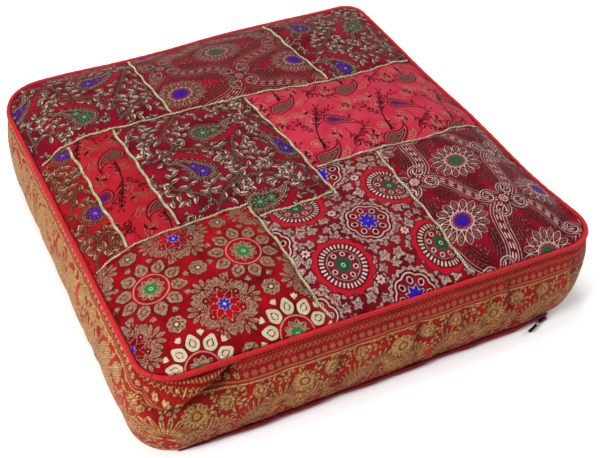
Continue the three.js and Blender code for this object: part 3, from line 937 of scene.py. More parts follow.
def paint_leaf(cloth, name, rng):
    rule = LEAF_LATTICE
    a, b = np.array(rule["a"]), np.array(rule["b"])
    origin = np.array(rule["origin"])
    for row, y in enumerate(np.arange(cloth.ys[0] - 4, cloth.ys[-1] + 8, STAR_PITCH * 0.87)):
        for x in np.arange(cloth.xs[0] - 4, cloth.xs[-1] + 8, STAR_PITCH) + (row % 2) * STAR_PITCH / 2:
            jitter = rng.uniform(-1.6, 1.6, 2)
            star_leaf(cloth, x + jitter[0], y + jitter[1], rng.uniform(0, 360), rng.uniform(5.6, 8.0))
    for x, y, *_ in lattice(cloth, origin, a, b, 36):
        ray_medallion(cloth, x, y)
    for x, y, *_ in lattice(cloth, origin + (a + b) / 2, a, b, 34):
        loop_medallion(cloth, x, y)
    for quarter in ((a + b) / 4, (a - b) / 4):
        for x, y, *_ in lattice(cloth, origin + quarter, a / 2, b / 2, 10, 8):
            if cloth.depth("field", x, y) > 4:
                floret(cloth, x, y, 5)


# The border cloth of the boxing, drawn along the seam and down from it

BORDER_REPEAT = 104
BORDER_TOP = 28  # where the flowers' band begins, down from the seam
BORDER_FOOT = 88  # where the twisted foot band begins
UPPER_BANDS = ((5.5, 12), (13.6, 21))
LATTICE_PITCH = 5
LATTICE_LEAN = 0.9
BUD_PITCH = 8
BEAD_ROW = 3.4
FAINT_STRIPE = 22.6
GOLD_STRIPES = (26, BORDER_FOOT + 1, BORDER_FOOT + 16, 108)
TWIST_MIDDLE = BORDER_FOOT + 8.5
TWIST_PITCH = 14
TWIST_SWING = 4.2
TOOTH_ROW = 113.5
PAINTED_SHEEN_BAND = (-210, 288)  # middle and half length of where the upper bands' pattern is gold, a painted sheen; past it the pattern is a dull shaded copy
PAINTED_SHEEN_LEFT_GOLD = 0.4  # by which the gold lines are wider along the left side, a painted sheen where that side faces the light
BORDER_PULL = 13  # of the border up into the seam, round from the front left corner to the left side


def border_leaf(cloth, base, heading, length, width, curl):
    spine = bent_line(base, heading, length, curl, 6)
    cloth.draw("figure", spine, width / 2 * np.sin(np.pi * np.linspace(0.06, 0.96, len(spine))), 1.3)


def border_flower(cloth, x, y, reach, heading):
    """A round flower: long petals with a dark rib, on a heart of dots."""
    here, dx, dy = cloth.near(x, y, reach + 4)
    along, across = folded(dx, dy, 15, heading)
    cloth.clear(here, disc(dx, dy, reach * 0.9), 1.0)
    cloth.weave("figure", here, petal(along, across, reach * 0.3, reach, reach * 0.38, 1.5))
    cloth.weave("line", here, petal(along, across, reach * 0.55, reach * 0.92, 1.2))
    cloth.weave("figure", here, disc(dx, dy, reach * 0.24))


def border_carnation(cloth, x, y, reach, heading):
    """A carnation from the side: a fan of thin toothed petals over its cup."""
    for turn in np.linspace(-78, 78, 11):
        spine = bent_line((x, y), heading + turn, reach, 0.25 * turn, 6)
        cloth.draw("figure", spine, np.array([0.5, 0.7, 1.0, 1.3, 1.7, 1.7, 0.8]), 1.0)
        cloth.draw("line", spine[3:-1], 0.4)
    for turn in (-120, 120):
        border_leaf(cloth, (x, y), heading + turn, reach * 0.6, 3.2, -0.3 * turn)


def border_fan(cloth, x, y, headings, length, curl):
    """Long thin leaves that spread from one foot, the middle ones longest."""
    middle = (len(headings) - 1) / 2
    for k, heading in enumerate(headings):
        reach = length * (1 - 0.04 * abs(k - middle))
        spine = bent_line((x, y), heading, reach, curl, 8)
        share = np.linspace(0, 1, len(spine))
        cloth.draw("figure", spine, 0.5 + 1.3 * np.sin(np.pi * share**1.4) ** 1.2, 1.0)
        cloth.draw("line", spine[4:-1], 0.4)


def border_repeat(cloth, x):
    """One repeat of the flowers' band, which starts at x along the seam. Up is towards the seam."""
    foot = BORDER_FOOT - 3
    border_fan(cloth, x + 46, foot, np.linspace(-180, -66, 14), 44, 34)
    border_carnation(cloth, x + 62, foot - 18, 26, -80)
    border_flower(cloth, x + 86, BORDER_TOP + 18, 14, -90)
    border_flower(cloth, x + 80, foot - 12, 12, -90)
    border_carnation(cloth, x + 104, foot - 14, 20, -110)
    border_flower(cloth, x + 8, BORDER_TOP + 11, 10, -90)
    border_flower(cloth, x + 40, BORDER_TOP + 9, 9, -90)
    border_flower(cloth, x + 112, foot - 4, 8, -90)
    stops = [(x + 46, foot), (x + 68, foot - 6), (x + 92, foot - 16), (x + 100, foot - 34)]
    cloth.draw("figure", curve_through(stops, 6), 1.0, 1.2)


def border_bands(cloth):
    """The narrow bands and stripes over and under the flowers."""
    drop, along = cloth.y, cloth.x
    whole = np.s_[:, :]
    cloth.clear(whole, np.minimum(drop - BORDER_TOP, BORDER_FOOT - drop))
    upper, lower = [np.abs(drop - (low + high) / 2) - (high - low) / 2 for low, high in UPPER_BANDS]
    cloth.weave("field", whole, np.minimum(upper, lower))
    rows = [np.maximum(np.abs(drop - BEAD_ROW) - 0.8, np.abs(along % 3.6 - 1.8) - 1.0)]
    for lean in (-LATTICE_LEAN, LATTICE_LEAN):
        line = np.abs((along + lean * drop) % LATTICE_PITCH - LATTICE_PITCH / 2) - 0.7
        rows.append(np.maximum(line, upper + 0.6))
    from_bud = folded(along % BUD_PITCH - BUD_PITCH / 2, drop - np.mean(UPPER_BANDS[1]), 6)
    rows.append(petal(*from_bud, 0.6, 3.4, 1.9))
    pattern = np.min(rows, axis=0)
    # Painted sheen and shade: the upper bands' pattern is gold in the lit stretch and dull brown past it
    past = np.abs(along - PAINTED_SHEEN_BAND[0]) - PAINTED_SHEEN_BAND[1]
    cloth.weave("figure", whole, np.maximum(pattern, past))
    cloth.weave("blue", whole, np.maximum(pattern, -past))
    cloth.weave("blue", whole, np.abs(drop - FAINT_STRIPE) - 0.9)
    for stripe in GOLD_STRIPES:
        cloth.weave("figure", whole, np.abs(drop - stripe) - 0.9)
    wave = TWIST_SWING * np.sin(2 * np.pi * along / TWIST_PITCH)
    middle = drop - TWIST_MIDDLE
    cloth.weave("figure", whole, np.abs(middle - wave) - 1.5)
    cloth.weave("figure", whole, np.abs(middle + wave) - 1.5, 1.0)
    cloth.weave("figure", whole, np.hypot(along % 7 - 3.5, middle) - 1.7)
    teeth = 0.7 * np.abs(along % 5 - 2.5) - 0.9
    cloth.weave("figure", whole, np.maximum(np.abs(drop - TOOTH_ROW) - 2, teeth))


def paint_border(cloth, rng):
    length = cloth.xs[-1] - cloth.xs[0]
    repeats = round(length / BORDER_REPEAT)
    for k in range(-2, repeats + 1):
        border_repeat(cloth, cloth.xs[0] + k * length / repeats)
    leaf_fill(cloth, rng, 5.5, 2.2, (5, 8), (2.4, 3.2), border_leaf)
    border_bands(cloth)
    # Painted sheen: wider gold lines along the left side, which faces the light
    cloth.threads["figure"] -= PAINTED_SHEEN_LEFT_GOLD * smoothstep(-cloth.x, 0, 60)


PAINTERS = dict(
    vine=paint_vine,
    vine_red=paint_vine,
    sun=paint_sun,
    sun_brown=paint_sun,
    sprig=paint_sprig,
    sprig_red=paint_sprig,
    petal=paint_petal,
    leaf=paint_leaf,
)


# Materials

def linear(hex_colour):
    """A colour of the screen as light."""
    channels = [(hex_colour >> shift & 255) / 255 for shift in (16, 8, 0)]
    return [c / 12.92 if c <= 0.04045 else ((c + 0.055) / 1.055) ** 2.4 for c in channels] + [1]


class Shader:
    """A material's nodes, added one by one."""

    def __init__(self, name):
        self.material = bpy.data.materials.new(name)
        self.material.use_nodes = True
        self.tree = self.material.node_tree
        self.surface = self.tree.nodes["Principled BSDF"]

    def add(self, kind, inputs=(), **settings):
        node = self.tree.nodes.new("ShaderNode" + kind)
        for key, value in settings.items():
            setattr(node, key, value)
        for key, value in dict(inputs).items():
            self.feed(node.inputs[key], value)
        return node

    def feed(self, socket, value):
        if isinstance(value, bpy.types.NodeSocket):
            self.tree.links.new(value, socket)
        else:
            socket.default_value = value

    def set(self, **inputs):
        for key, value in inputs.items():
            self.feed(self.surface.inputs[key.replace("_", " ")], value)

    def math(self, operation, *values):
        return self.add("Math", enumerate(values), operation=operation).outputs[0]

    def ramp(self, value, low, high, start=0.0, end=1.0):
        inputs = {"Value": value, "From Min": low, "From Max": high, "To Min": start, "To Max": end}
        return self.add("MapRange", inputs).outputs[0]

    def mix(self, share, first, second):
        node = self.add("Mix", {0: share, 6: first, 7: second}, data_type="RGBA")
        return node.outputs[2]

    def attribute(self, name, output="Fac"):
        return self.add("Attribute", attribute_name=name).outputs[output]

    def noise(self, vector, scale, detail=2.0, roughness=0.5):
        inputs = {"Vector": vector, "Scale": scale, "Detail": detail, "Roughness": roughness}
        return self.add("TexNoise", inputs).outputs[0]

    def wave(self, vector, scale, direction="X", distortion=0.0):
        inputs = {"Vector": vector, "Scale": scale, "Distortion": distortion}
        return self.add("TexWave", inputs, bands_direction=direction).outputs[1]

    def bump(self, height, distance):
        node = self.add("Bump", {"Height": height, "Distance": distance, "Strength": 1.0})
        self.set(Normal=node.outputs[0])


THREAD_EDGE = 0.32  # millimetres over which one thread gives way to another
OUTLINE = (0.25, 1.3)  # distances from the figure between which its dark outline fades
GLINT_STRETCH = (0.22, 1.3, 1)  # of the noise in the metal thread, which lies along the cloth
HATCH_SCALE = 0.19  # of the bands of ground that cross the figure
EDGE_TINT = (0.3, 0.14, 0.12, 1)  # of the thread, seen along the cloth
BETWEEN_THREADS = 0x180304
# colour of the painted shade in the boxing's creases
PAINTED_CREASE_SHADE = 0x200405


def metal_figure(shader, cloth, shades, hatching):
    """Colour of the figure's metal thread, crossed by bands of ground, and its glint."""
    mottled = shader.ramp(shader.noise(cloth, 0.3, 3, 0.6), 0.36, 0.66)
    figure = shader.mix(mottled, *shades["figure"])
    hatch = shader.ramp(shader.wave(cloth, HATCH_SCALE, "DIAGONAL", 1.5), 0.3, 0.7, 0.0, hatching)
    figure = shader.mix(hatch, figure, shades["ground"][1])
    threads = shader.add("VectorMath", {0: cloth, 1: GLINT_STRETCH}, operation="MULTIPLY").outputs[0]
    glint = shader.noise(threads, 1.0, 3, 0.7)
    figure = shader.mix(shader.ramp(glint, 0.52, 0.72, 0.0, 0.75), figure, shades["pale"][0])
    figure = shader.mix(shader.ramp(glint, 0.46, 0.3, 0.0, 0.6), figure, shades["line"][0])
    return figure, glint


def brocade(name, palette):
    """Satin ground with a figure of metal thread, each thread shown where its distance is below 0."""
    shader = Shader(name)
    cloth = shader.attribute("cloth", "Vector")
    patchy = shader.ramp(shader.noise(cloth, 0.035, 3), 0.35, 0.65)
    shades = {key: [linear(c) for c in np.atleast_1d(palette[key]).tolist()] for key in THREAD_COLOURS}
    distance = {thread: shader.attribute(thread) for thread in Cloth.THREADS}
    mask = {thread: shader.ramp(distance[thread], THREAD_EDGE, -THREAD_EDGE) for thread in Cloth.THREADS}
    colour = shader.mix(patchy, *shades["ground"])
    colour = shader.mix(mask["field"], colour, shades["field"][0])
    nearest = shader.math("MINIMUM", distance["figure"], distance["pale"])
    outline = shader.ramp(nearest, *OUTLINE, palette["outline"], 0.0)
    colour = shader.mix(outline, colour, shades["line"][0])
    figure, glint = metal_figure(shader, cloth, shades, palette["hatch"])
    colour = shader.mix(mask["figure"], colour, figure)
    for thread in ("blue", "green", "pale", "line"):
        colour = shader.mix(mask[thread], colour, shades[thread][0])
    weft = shader.wave(cloth, 0.55, "Y", 0.4)
    warp = shader.wave(cloth, 0.5, "X", 0.4)
    weave = shader.math("MULTIPLY", weft, warp)
    colour = shader.mix(shader.ramp(weave, 0, 1, 0.2, 0.0), colour, linear(BETWEEN_THREADS))
    colour = shader.mix(shader.ramp(glint, 0.55, 0.3, 0.0, 0.35), colour, linear(BETWEEN_THREADS))
    # Painted shade: the colour darkens toward the crease colour where the crease attribute says the boxing
    # goes into a crease
    crease = shader.math("MULTIPLY", shader.attribute("crease"), 0.75)
    colour = shader.mix(crease, colour, linear(PAINTED_CREASE_SHADE))
    metal = shader.math("MAXIMUM", mask["figure"], mask["pale"])
    shader.set(Base_Color=colour)
    shader.set(Metallic=shader.math("MULTIPLY", metal, 0.5))
    shader.set(Roughness=shader.ramp(metal, 0, 1, 0.5, 0.34))
    shader.set(Specular_IOR_Level=0.06)
    shader.set(Specular_Tint=EDGE_TINT)
    raised = shader.math("MULTIPLY_ADD", metal, 0.8, shader.math("MULTIPLY", weave, 0.5))
    shader.bump(raised, 0.0004)
    return shader.material


def piping_satin():
    shader = Shader("piping_satin")
    cloth = shader.attribute("cloth", "Vector")
    creases = shader.wave(cloth, 0.16, "DIAGONAL", 3)
    streaks = shader.noise(cloth, 0.25, 4, 0.6)
    colour = shader.mix(shader.ramp(streaks, 0.3, 0.7), linear(0x980A12), linear(0xB61218))
    # Painted shade in the bias creases, where the crease bands darken the red
    shader.set(Base_Color=shader.mix(shader.ramp(creases, 0.2, 0.0, 0, 0.35), colour, linear(0x8E0C14)))
    shader.set(Roughness=shader.ramp(streaks, 0.3, 0.7, 0.4, 0.52), Specular_IOR_Level=0.18)
    threads = shader.wave(cloth, 0.9, "DIAGONAL", 0.5)
    shader.bump(shader.math("MULTIPLY_ADD", threads, 0.3, shader.math("ADD", creases, streaks)), 0.0003)
    return shader.material


def zari_braid():
    shader = Shader("zari_braid")
    cloth = shader.attribute("cloth", "Vector")
    worn = shader.ramp(shader.noise(cloth, 0.09, 3), 0.35, 0.7)
    turns = shader.wave(cloth, 0.75, "DIAGONAL", 0.6)
    colour = shader.mix(worn, linear(0xFBF7D4), linear(0xDFDBA0))
    # Painted shade in the crevices between the strands' turns
    colour = shader.mix(shader.ramp(turns, 0.5, 0.0, 0, 0.65), colour, linear(0x6E6A30))
    # Painted shade where a strand passes under the others: the cloth's third coordinate is the strand's rise
    height = shader.add("SeparateXYZ", {0: cloth}).outputs[2]
    colour = shader.mix(shader.ramp(height, 0.4, -0.8, 0.0, 0.9), colour, linear(0x3C3818))
    shader.set(Base_Color=colour, Metallic=0.2)
    shader.set(Roughness=shader.ramp(worn, 0, 1, 0.34, 0.48))
    shader.bump(turns, 0.0003)
    return shader.material


def flap_cotton():
    shader = Shader("flap_cotton")
    cloth = shader.attribute("cloth", "Vector")
    worn = shader.ramp(shader.noise(cloth, 0.12, 3), 0.3, 0.7)
    weave = shader.math("MULTIPLY", shader.wave(cloth, 0.5, "X", 0.5), shader.wave(cloth, 0.5, "Y", 0.5))
    colour = shader.mix(worn, linear(0x9C0A26), linear(0x7C081C))
    shader.set(Base_Color=shader.mix(shader.ramp(weave, 0, 1, 0.3, 0), colour, linear(0x30040A)))
    shader.set(Roughness=shader.ramp(worn, 0, 1, 0.62, 0.75), Specular_IOR_Level=0.2)
    shader.bump(weave, 0.0003)
    return shader.material


def zip_metal():
    shader = Shader("zip_metal")
    place = shader.add("TexCoord").outputs["Object"]
    rubbed = shader.ramp(shader.noise(place, 900, 3), 0.45, 0.75)
    shader.set(Base_Color=shader.mix(rubbed, linear(0x0D0C0D), linear(0x2A2828)), Metallic=0.6)
    shader.set(Roughness=shader.ramp(rubbed, 0, 1, 0.3, 0.45))
    shader.bump(rubbed, 0.00005)
    return shader.material


def pale_floor():
    shader = Shader("pale_floor")
    place = shader.add("TexCoord").outputs["Object"]
    shader.set(Base_Color=shader.mix(shader.noise(place, 3), linear(0xF4F4F3), linear(0xFAFAFA)))
    shader.set(Roughness=0.9)
    return shader.material


# The top's patches

GRID_STEP = 1.1
SKIRT = 2.5  # of each patch, turned down at its seams
SEAM_SINK = 1.3
SEAM_REACH = 5
FIGURE_RAISE = 0.2
EDGE_PROBE = 0.2  # each way, to find the slope of a patch's edge

SEAM_LINES = {name: curve_through(stops, 2) for name, stops in SEAMS.items()}


def row_line(names):
    """Height in plan over x of a row of seams, from left to right."""
    line = np.vstack([SEAM_LINES[name] for name in names])
    return lambda x: np.interp(x, *line[np.argsort(line[:, 0])].T)


def column_line(name):
    line = SEAM_LINES[name][:, ::-1]
    return lambda y: np.interp(y, *line[np.argsort(line[:, 0])].T)


def inside_patch(patch):
    """How far a plan point lies inside a patch, as a function."""
    tests = [inside_edge]
    if patch["left"]:
        left = column_line(patch["left"])
        tests.append(lambda x, y: x - left(y))
    if patch["right"]:
        right = column_line(patch["right"])
        tests.append(lambda x, y: right(y) - x)
    if patch["front"]:
        front = row_line(patch["front"])
        tests.append(lambda x, y: y - front(x))
    if patch["back"]:
        back = row_line(patch["back"])
        tests.append(lambda x, y: back(x) - y)
    return lambda x, y: np.min([test(x, y) for test in tests], 0)


def spline_weights(share):
    """Shares of four neighbours in a smooth line at a place between the middle two."""
    t = share
    first = (1 - t) ** 3 / 6
    second = (3 * t**3 - 6 * t**2 + 4) / 6
    third = (-3 * t**3 + 3 * t**2 + 3 * t + 1) / 6
    return first, second, third, t**3 / 6


def sample(table, column, row):
    """Values of a table between its columns and rows, on a smooth surface."""
    first_i, first_j = np.floor(column).astype(int), np.floor(row).astype(int)
    total = 0
    for dj, weight_j in enumerate(spline_weights(row - first_j)):
        j = np.clip(first_j + dj - 1, 0, table.shape[0] - 1)
        for di, weight_i in enumerate(spline_weights(column - first_i)):
            i = np.clip(first_i + di - 1, 0, table.shape[1] - 1)
            weight = weight_i * weight_j
            total = total + table[j, i] * (weight[..., None] if table.ndim == 3 else weight)
    return total


def seam_distance():
    """Distance to the nearest patch seam, as a function of plan points."""
    step = 2
    axis = np.arange(-HALF, HALF + step, step)
    x, y = np.meshgrid(axis, axis)
    nearest = np.full(x.shape, np.inf)
    for line in SEAM_LINES.values():
        for seam_x, seam_y in line:
            nearest = np.minimum(nearest, np.hypot(x - seam_x, y - seam_y))
    return lambda px, py: sample(nearest, (px + HALF) / step, (py + HALF) / step)


to_seam = seam_distance()


def seam_relief(x, y):
    """How the top sinks to its patch seams, puckered by their stitches."""
    distance = to_seam(x, y)
    pucker = 0.4 * np.sin(0.9 * x + 0.4 * np.sin(0.3 * y)) * np.sin(0.8 * y + 0.5 * np.sin(0.27 * x))
    return -SEAM_SINK * np.exp(-((distance / SEAM_REACH) ** 2)) + pucker * np.exp(-((distance / 12) ** 2))


def moved_to_edge(inside, x, y):
    """Plan points of a patch's rim, moved nearer to its edge."""
    depth = inside(x, y)
    slope_x = (inside(x + EDGE_PROBE, y) - inside(x - EDGE_PROBE, y)) / (2 * EDGE_PROBE)
    slope_y = (inside(x, y + EDGE_PROBE) - inside(x, y - EDGE_PROBE)) / (2 * EDGE_PROBE)
    steep = np.maximum(slope_x**2 + slope_y**2, 0.5)
    move = np.clip(depth / steep, -GRID_STEP, GRID_STEP)
    return x - move * slope_x, y - move * slope_y


def patch_cells(inside):
    """Plan points of a grid round a patch, and which of its cells lie inside."""
    axis = np.arange(-HALF, HALF + GRID_STEP, GRID_STEP)
    x, y = np.meshgrid(axis, axis)
    kept = inside(x[:-1, :-1] + GRID_STEP / 2, y[:-1, :-1] + GRID_STEP / 2) > 0
    rows, columns = np.where(kept)
    low_j, high_j, low_i, high_i = rows.min(), rows.max() + 1, columns.min(), columns.max() + 1
    cut = np.s_[low_j : high_j + 1, low_i : high_i + 1]
    return x[cut], y[cut], kept[low_j:high_j, low_i:high_i]


def patch_faces(kept):
    """Quads of the kept cells of a grid, and the edges round them."""
    rows, columns = kept.shape[0] + 1, kept.shape[1] + 1
    quads = grid_faces(rows, columns)[kept.ravel()]
    edges = np.concatenate([quads[:, [k, (k + 1) % 4]] for k in range(4)])
    there = edges[:, 0] * rows * columns + edges[:, 1]
    back = edges[:, 1] * rows * columns + edges[:, 0]
    return quads, edges[~np.isin(there, back)]


def patch_sheet(name, patch, swell, materials, rng):
    """One patch: a fine grid cut along its seams, with its edge turned down."""
    inside = inside_patch(patch)
    x, y, kept = patch_cells(inside)
    quads, rim = patch_faces(kept)
    cloth = Cloth(x[0], y[:, 0])
    PAINTERS[patch["cloth"]](cloth, name, rng)

    px, py = x.ravel().copy(), y.ravel().copy()
    border = np.unique(rim)
    for _ in range(2):
        px[border], py[border] = moved_to_edge(inside, px[border], py[border])

    raised = FIGURE_RAISE * smoothstep(-cloth.threads["figure"].ravel(), -0.5, 0.5)
    points = top_point(px, py, seam_relief(px, py) + raised) + swell.on_top(px, py)
    used = np.unique(quads)
    renumber = np.zeros(x.size, int)
    renumber[used] = np.arange(len(used))
    skirt = np.zeros(x.size, int)
    skirt[border] = len(used) + np.arange(len(border))
    every = np.concatenate([used, border])
    hem = points[border] - [0, 0, SKIRT]
    turned = np.stack([renumber[rim[:, 1]], renumber[rim[:, 0]], skirt[rim[:, 0]], skirt[rim[:, 1]]], -1)
    attributes = {thread: values.ravel()[every] for thread, values in cloth.threads.items()}
    attributes["cloth"] = np.stack([px, py, 0 * px], -1)[every]
    piece = make_piece(
        "patch_" + name,
        np.vstack([points[used], hem]),
        [renumber[quads], turned],
        materials[patch["cloth"]],
        attributes,
    )


# The filled cover. A coarse copy is blown up, held at its seams, and the finer pieces follow it.

SIM_CELLS = 72  # along each side
SIM_ROWS = 14
SIM_FRAMES = 20
SIM_SETTINGS = dict(
    quality=6, mass=0.15, tension_stiffness=10, compression_stiffness=10, bending_stiffness=0.2,
    shrink_min=-0.02, use_pressure=True, uniform_pressure_force=4, vertex_group_mass="held",
)
START_INSET = 2.0
TOP_CAP = 4.5
SIDE_CAP = 4.0
HELD_NEAR = 3.5  # how near a patch seam the cloth is held


def top_grid(cells):
    """Plan points of a grid over the top panel."""
    step = np.linspace(-1, 1, cells + 1)
    u, v = np.meshgrid(step, step)
    u = np.where((u == 0) & (v == 0), 1e-9, u)
    plan, out = seam_at(u, v)
    return np.moveaxis((plan + EDGE_OUT * out) * np.maximum(np.abs(u), np.abs(v))[..., None], -1, 0)


def top_grid_place(x, y):
    """Where plan points lie on that grid, from -1 to 1 each way."""
    x = np.where((x == 0) & (y == 0), 1e-9, x)
    plan, out = seam_at(x, y)
    edge = plan + EDGE_OUT * out
    share = np.hypot(x, y) / np.hypot(edge[..., 0], edge[..., 1])
    ray = np.stack([x, y], -1) / np.maximum(np.abs(x), np.abs(y))[..., None]
    return np.moveaxis(ray * share[..., None], -1, 0)


def fullness(plan):
    return sum(corner["fullness"] * corner_share(corner, *(plan / HALF).T) for corner in CORNERS)


def tuck(plan):
    """How far the boxing's foot is drawn in near the corners."""
    drawn = 0
    for corner in CORNERS:
        place = HALF * np.array([corner["u"], corner["v"]])
        drawn = drawn + corner["tuck"] * hump(np.hypot(*(plan - place).T), TUCK_REACH)
    return drawn


def smooth_rows(count):
    """Drop, way out and length down from the seam of even rows of the boxing, on its smooth section."""
    section = curve_through(np.stack([BOXING_DROP, BOXING_OUT], -1), 0.5)
    length = np.concatenate([[0], np.cumsum(np.hypot(*np.diff(section, axis=0).T))])
    even = np.linspace(0, length[-1], count)
    return np.interp(even, length, section[:, 0]), np.interp(even, length, section[:, 1]), even


def boxing_form(plan, out, drops, outs, extra):
    """Points of the boxing, a row for each drop, moved out by an extra way at each point."""
    full, drawn = fullness(plan), tuck(plan)
    rows = []
    for drop, way, more in zip(drops, outs, extra):
        filled = 1 + (full - 1) * smoothstep(drop, BOXING_DROP[0], 12)
        reach = way * filled - drawn * (drop / SEAM_HEIGHT) ** 2 + more
        rows.append(settle(off_seam(plan, out, reach, np.full(len(plan), -drop))))
    return np.stack(rows)


class Swell:
    """How far the filled cloth moves from the cushion's plain form, over its top and its boxing."""

    def __init__(self, top, side):
        self.top, self.side = top, side

    def on_top(self, x, y):
        u, v = top_grid_place(x, y)
        return sample(self.top, (u + 1) / 2 * SIM_CELLS, (v + 1) / 2 * SIM_CELLS)

    def on_side(self, round_share, down_share):
        """At shares of the way round from the front left corner and down from the seam."""
        wrapped = np.concatenate([self.side[:, -2:], self.side, self.side[:, :3]], 1)
        return sample(wrapped, round_share % 1 * 4 * SIM_CELLS + 2, down_share * SIM_ROWS)


def capped(move, cap):
    """Moves no longer than a cap, which long ones come near softly."""
    length = np.maximum(np.linalg.norm(move, axis=-1, keepdims=True), 1e-9)
    return move / length * cap * np.tanh(length / cap)


def fill_with_air(start, faces, held):
    """Blender's cloth, blown up from its start and held at some points; returns where its points end."""
    mesh = bpy.data.meshes.new("coarse_cover")
    mesh.from_pydata((start * METRES).tolist(), [], faces)
    cover = bpy.data.objects.new("coarse_cover", mesh)
    scene = bpy.context.scene
    scene.collection.objects.link(cover)
    cover.vertex_groups.new(name="held").add(np.flatnonzero(held).tolist(), 1.0, "REPLACE")
    cloth = cover.modifiers.new("filling", "CLOTH")
    cloth.point_cache.frame_end = SIM_FRAMES
    for key, value in SIM_SETTINGS.items():
        setattr(cloth.settings, key, value)
    cloth.settings.effector_weights.gravity = 0
    for step in range(1, SIM_FRAMES + 1):
        scene.frame_set(step)
    filled = cover.evaluated_get(bpy.context.evaluated_depsgraph_get()).data
    end = np.empty(3 * len(start), np.float32)
    filled.vertices.foreach_get("co", end)
    bpy.data.objects.remove(cover)
    bpy.data.meshes.remove(mesh)
    scene.frame_set(1)
    return end.reshape(-1, 3) / METRES


def swell_cover():
    cells, columns = SIM_CELLS + 1, 4 * SIM_CELLS
    x, y = top_grid(SIM_CELLS)
    top = top_point(x, y)
    plan, out = seam_round(SIM_CELLS)
    drops, outs, _ = smooth_rows(SIM_ROWS + 1)
    side = boxing_form(plan, out, drops, outs, np.zeros(SIM_ROWS + 1))
    form = np.concatenate([top.reshape(-1, 3), side.reshape(-1, 3), np.zeros((1, 3))])

    low_top = top - [0, 0, START_INSET] * smoothstep(inside_edge(x, y), 0, 15)[..., None]
    slack = START_INSET * np.sin(np.pi * np.linspace(0, 1, SIM_ROWS + 1))
    slim_side = side - np.concatenate([out, 0 * out[:, :1]], 1) * slack[:, None, None]
    start = np.concatenate([low_top.reshape(-1, 3), slim_side.reshape(-1, 3), np.zeros((1, 3))])

    index = np.arange(cells**2).reshape(cells, cells)
    rim = np.concatenate([index[0, :-1], index[:-1, -1], index[-1, :0:-1], index[:0:-1, 0]])
    rings = np.vstack([rim, cells**2 + np.arange(side[..., 0].size).reshape(side.shape[:2])])
    wrapped = np.hstack([rings, rings[:, :1]])
    band = np.stack([wrapped[:-1, :-1], wrapped[1:, :-1], wrapped[1:, 1:], wrapped[:-1, 1:]], -1)
    foot = fan_faces(rings[-1][::-1], len(start) - 1)
    faces = np.concatenate([grid_faces(cells, cells), band.reshape(-1, 4)]).tolist() + foot.tolist()

    held = np.zeros(len(start), bool)
    held[: cells**2] = (to_seam(x, y) < HELD_NEAR).ravel()
    held[rings[[0, 1, -2, -1]]] = True
    held[-1] = True
    end = fill_with_air(start, faces, held)
    move = end - form
    top_move = move[: cells**2].reshape(top.shape)
    side_move = move[cells**2 : -1].reshape(side.shape)
    return Swell(capped(top_move, TOP_CAP), capped(side_move, SIDE_CAP))


# Folds in the boxing, each a crease between two places on it, measured along the seam from the front left
# corner to the right and down from the seam. The cloth falls steeply into the crease from the roll above it.
FOLDS = [
    dict(start=(82, 4), end=(-8, 34), depth=15, steep=2.5, gentle=15, roll=7, reach=18, hang=7),
    dict(start=(71, 4), end=(69, 22), depth=3.5, steep=2.5, gentle=5, roll=1.5, reach=8),
    dict(start=(-10, 10), end=(-4, 40), depth=4, steep=5, gentle=7, roll=1.0, reach=12),
    dict(start=(372, 6), end=(378, 62), depth=3.6, steep=4, gentle=7, roll=1.2, reach=14),
    dict(start=(352, 26), end=(344, 70), depth=1.6, steep=4, gentle=6, roll=0.8, reach=12),
    dict(start=(182, 22), end=(168, 78), depth=2.4, steep=4, gentle=8, roll=0.8, reach=14),
    dict(start=(268, 12), end=(262, 66), depth=2.4, steep=4, gentle=7, roll=0.6, reach=12),
    dict(start=(318, 16), end=(324, 72), depth=2.0, steep=4, gentle=7, roll=0.8, reach=12),
    dict(start=(452, 10), end=(462, 64), depth=2.6, steep=4, gentle=8, roll=1.0, reach=14),
    dict(start=(-88, 10), end=(-112, 76), depth=2.2, steep=5, gentle=8, roll=1.0, reach=14),
    dict(start=(-210, 12), end=(-224, 70), depth=1.8, steep=5, gentle=8, roll=0.8, reach=14),
    dict(start=(-330, 14), end=(-322, 72), depth=1.6, steep=5, gentle=8, roll=0.8, reach=14),
    dict(start=(560, 12), end=(548, 66), depth=2.0, steep=5, gentle=8, roll=0.8, reach=14),
    dict(start=(706, 10), end=(720, 70), depth=1.6, steep=5, gentle=8, roll=0.8, reach=14),
    dict(start=(868, 14), end=(856, 76), depth=1.8, steep=5, gentle=8, roll=0.8, reach=14),
    dict(start=(1060, 12), end=(1076, 70), depth=1.6, steep=5, gentle=8, roll=0.8, reach=14),
    dict(start=(1240, 14), end=(1228, 74), depth=1.8, steep=5, gentle=8, roll=0.8, reach=14),
]
FOLD_FADE = 0.28  # share of a crease over which it fades at each end


def fold_place(fold, along, drop):
    """Distance from a fold's crease, whether a point is above it, and how much of the fold is left there."""
    start = np.array(fold["start"], float)
    crease = np.array(fold["end"]) - start
    px, py = along - start[0], drop - start[1]
    share = np.clip((px * crease[0] + py * crease[1]) / (crease @ crease), 0, 1)
    aside = np.hypot(px - share * crease[0], py - share * crease[1])
    above = px * crease[1] - py * crease[0] < 0
    fade = smoothstep(share, 0, FOLD_FADE) * smoothstep(1 - share, 0, FOLD_FADE)
    return aside, above, fade * smoothstep(drop, BOXING_DROP[0], 8)


def fold_hollow(along, drop):
    """How far the body under the boxing keeps back from its folds."""
    hollow = 0
    for fold in FOLDS:
        aside, _, fade = fold_place(fold, along, drop)
        hollow = hollow + fade * fold["depth"] * hump(aside, 2 * fold["gentle"] + 8)
    return hollow


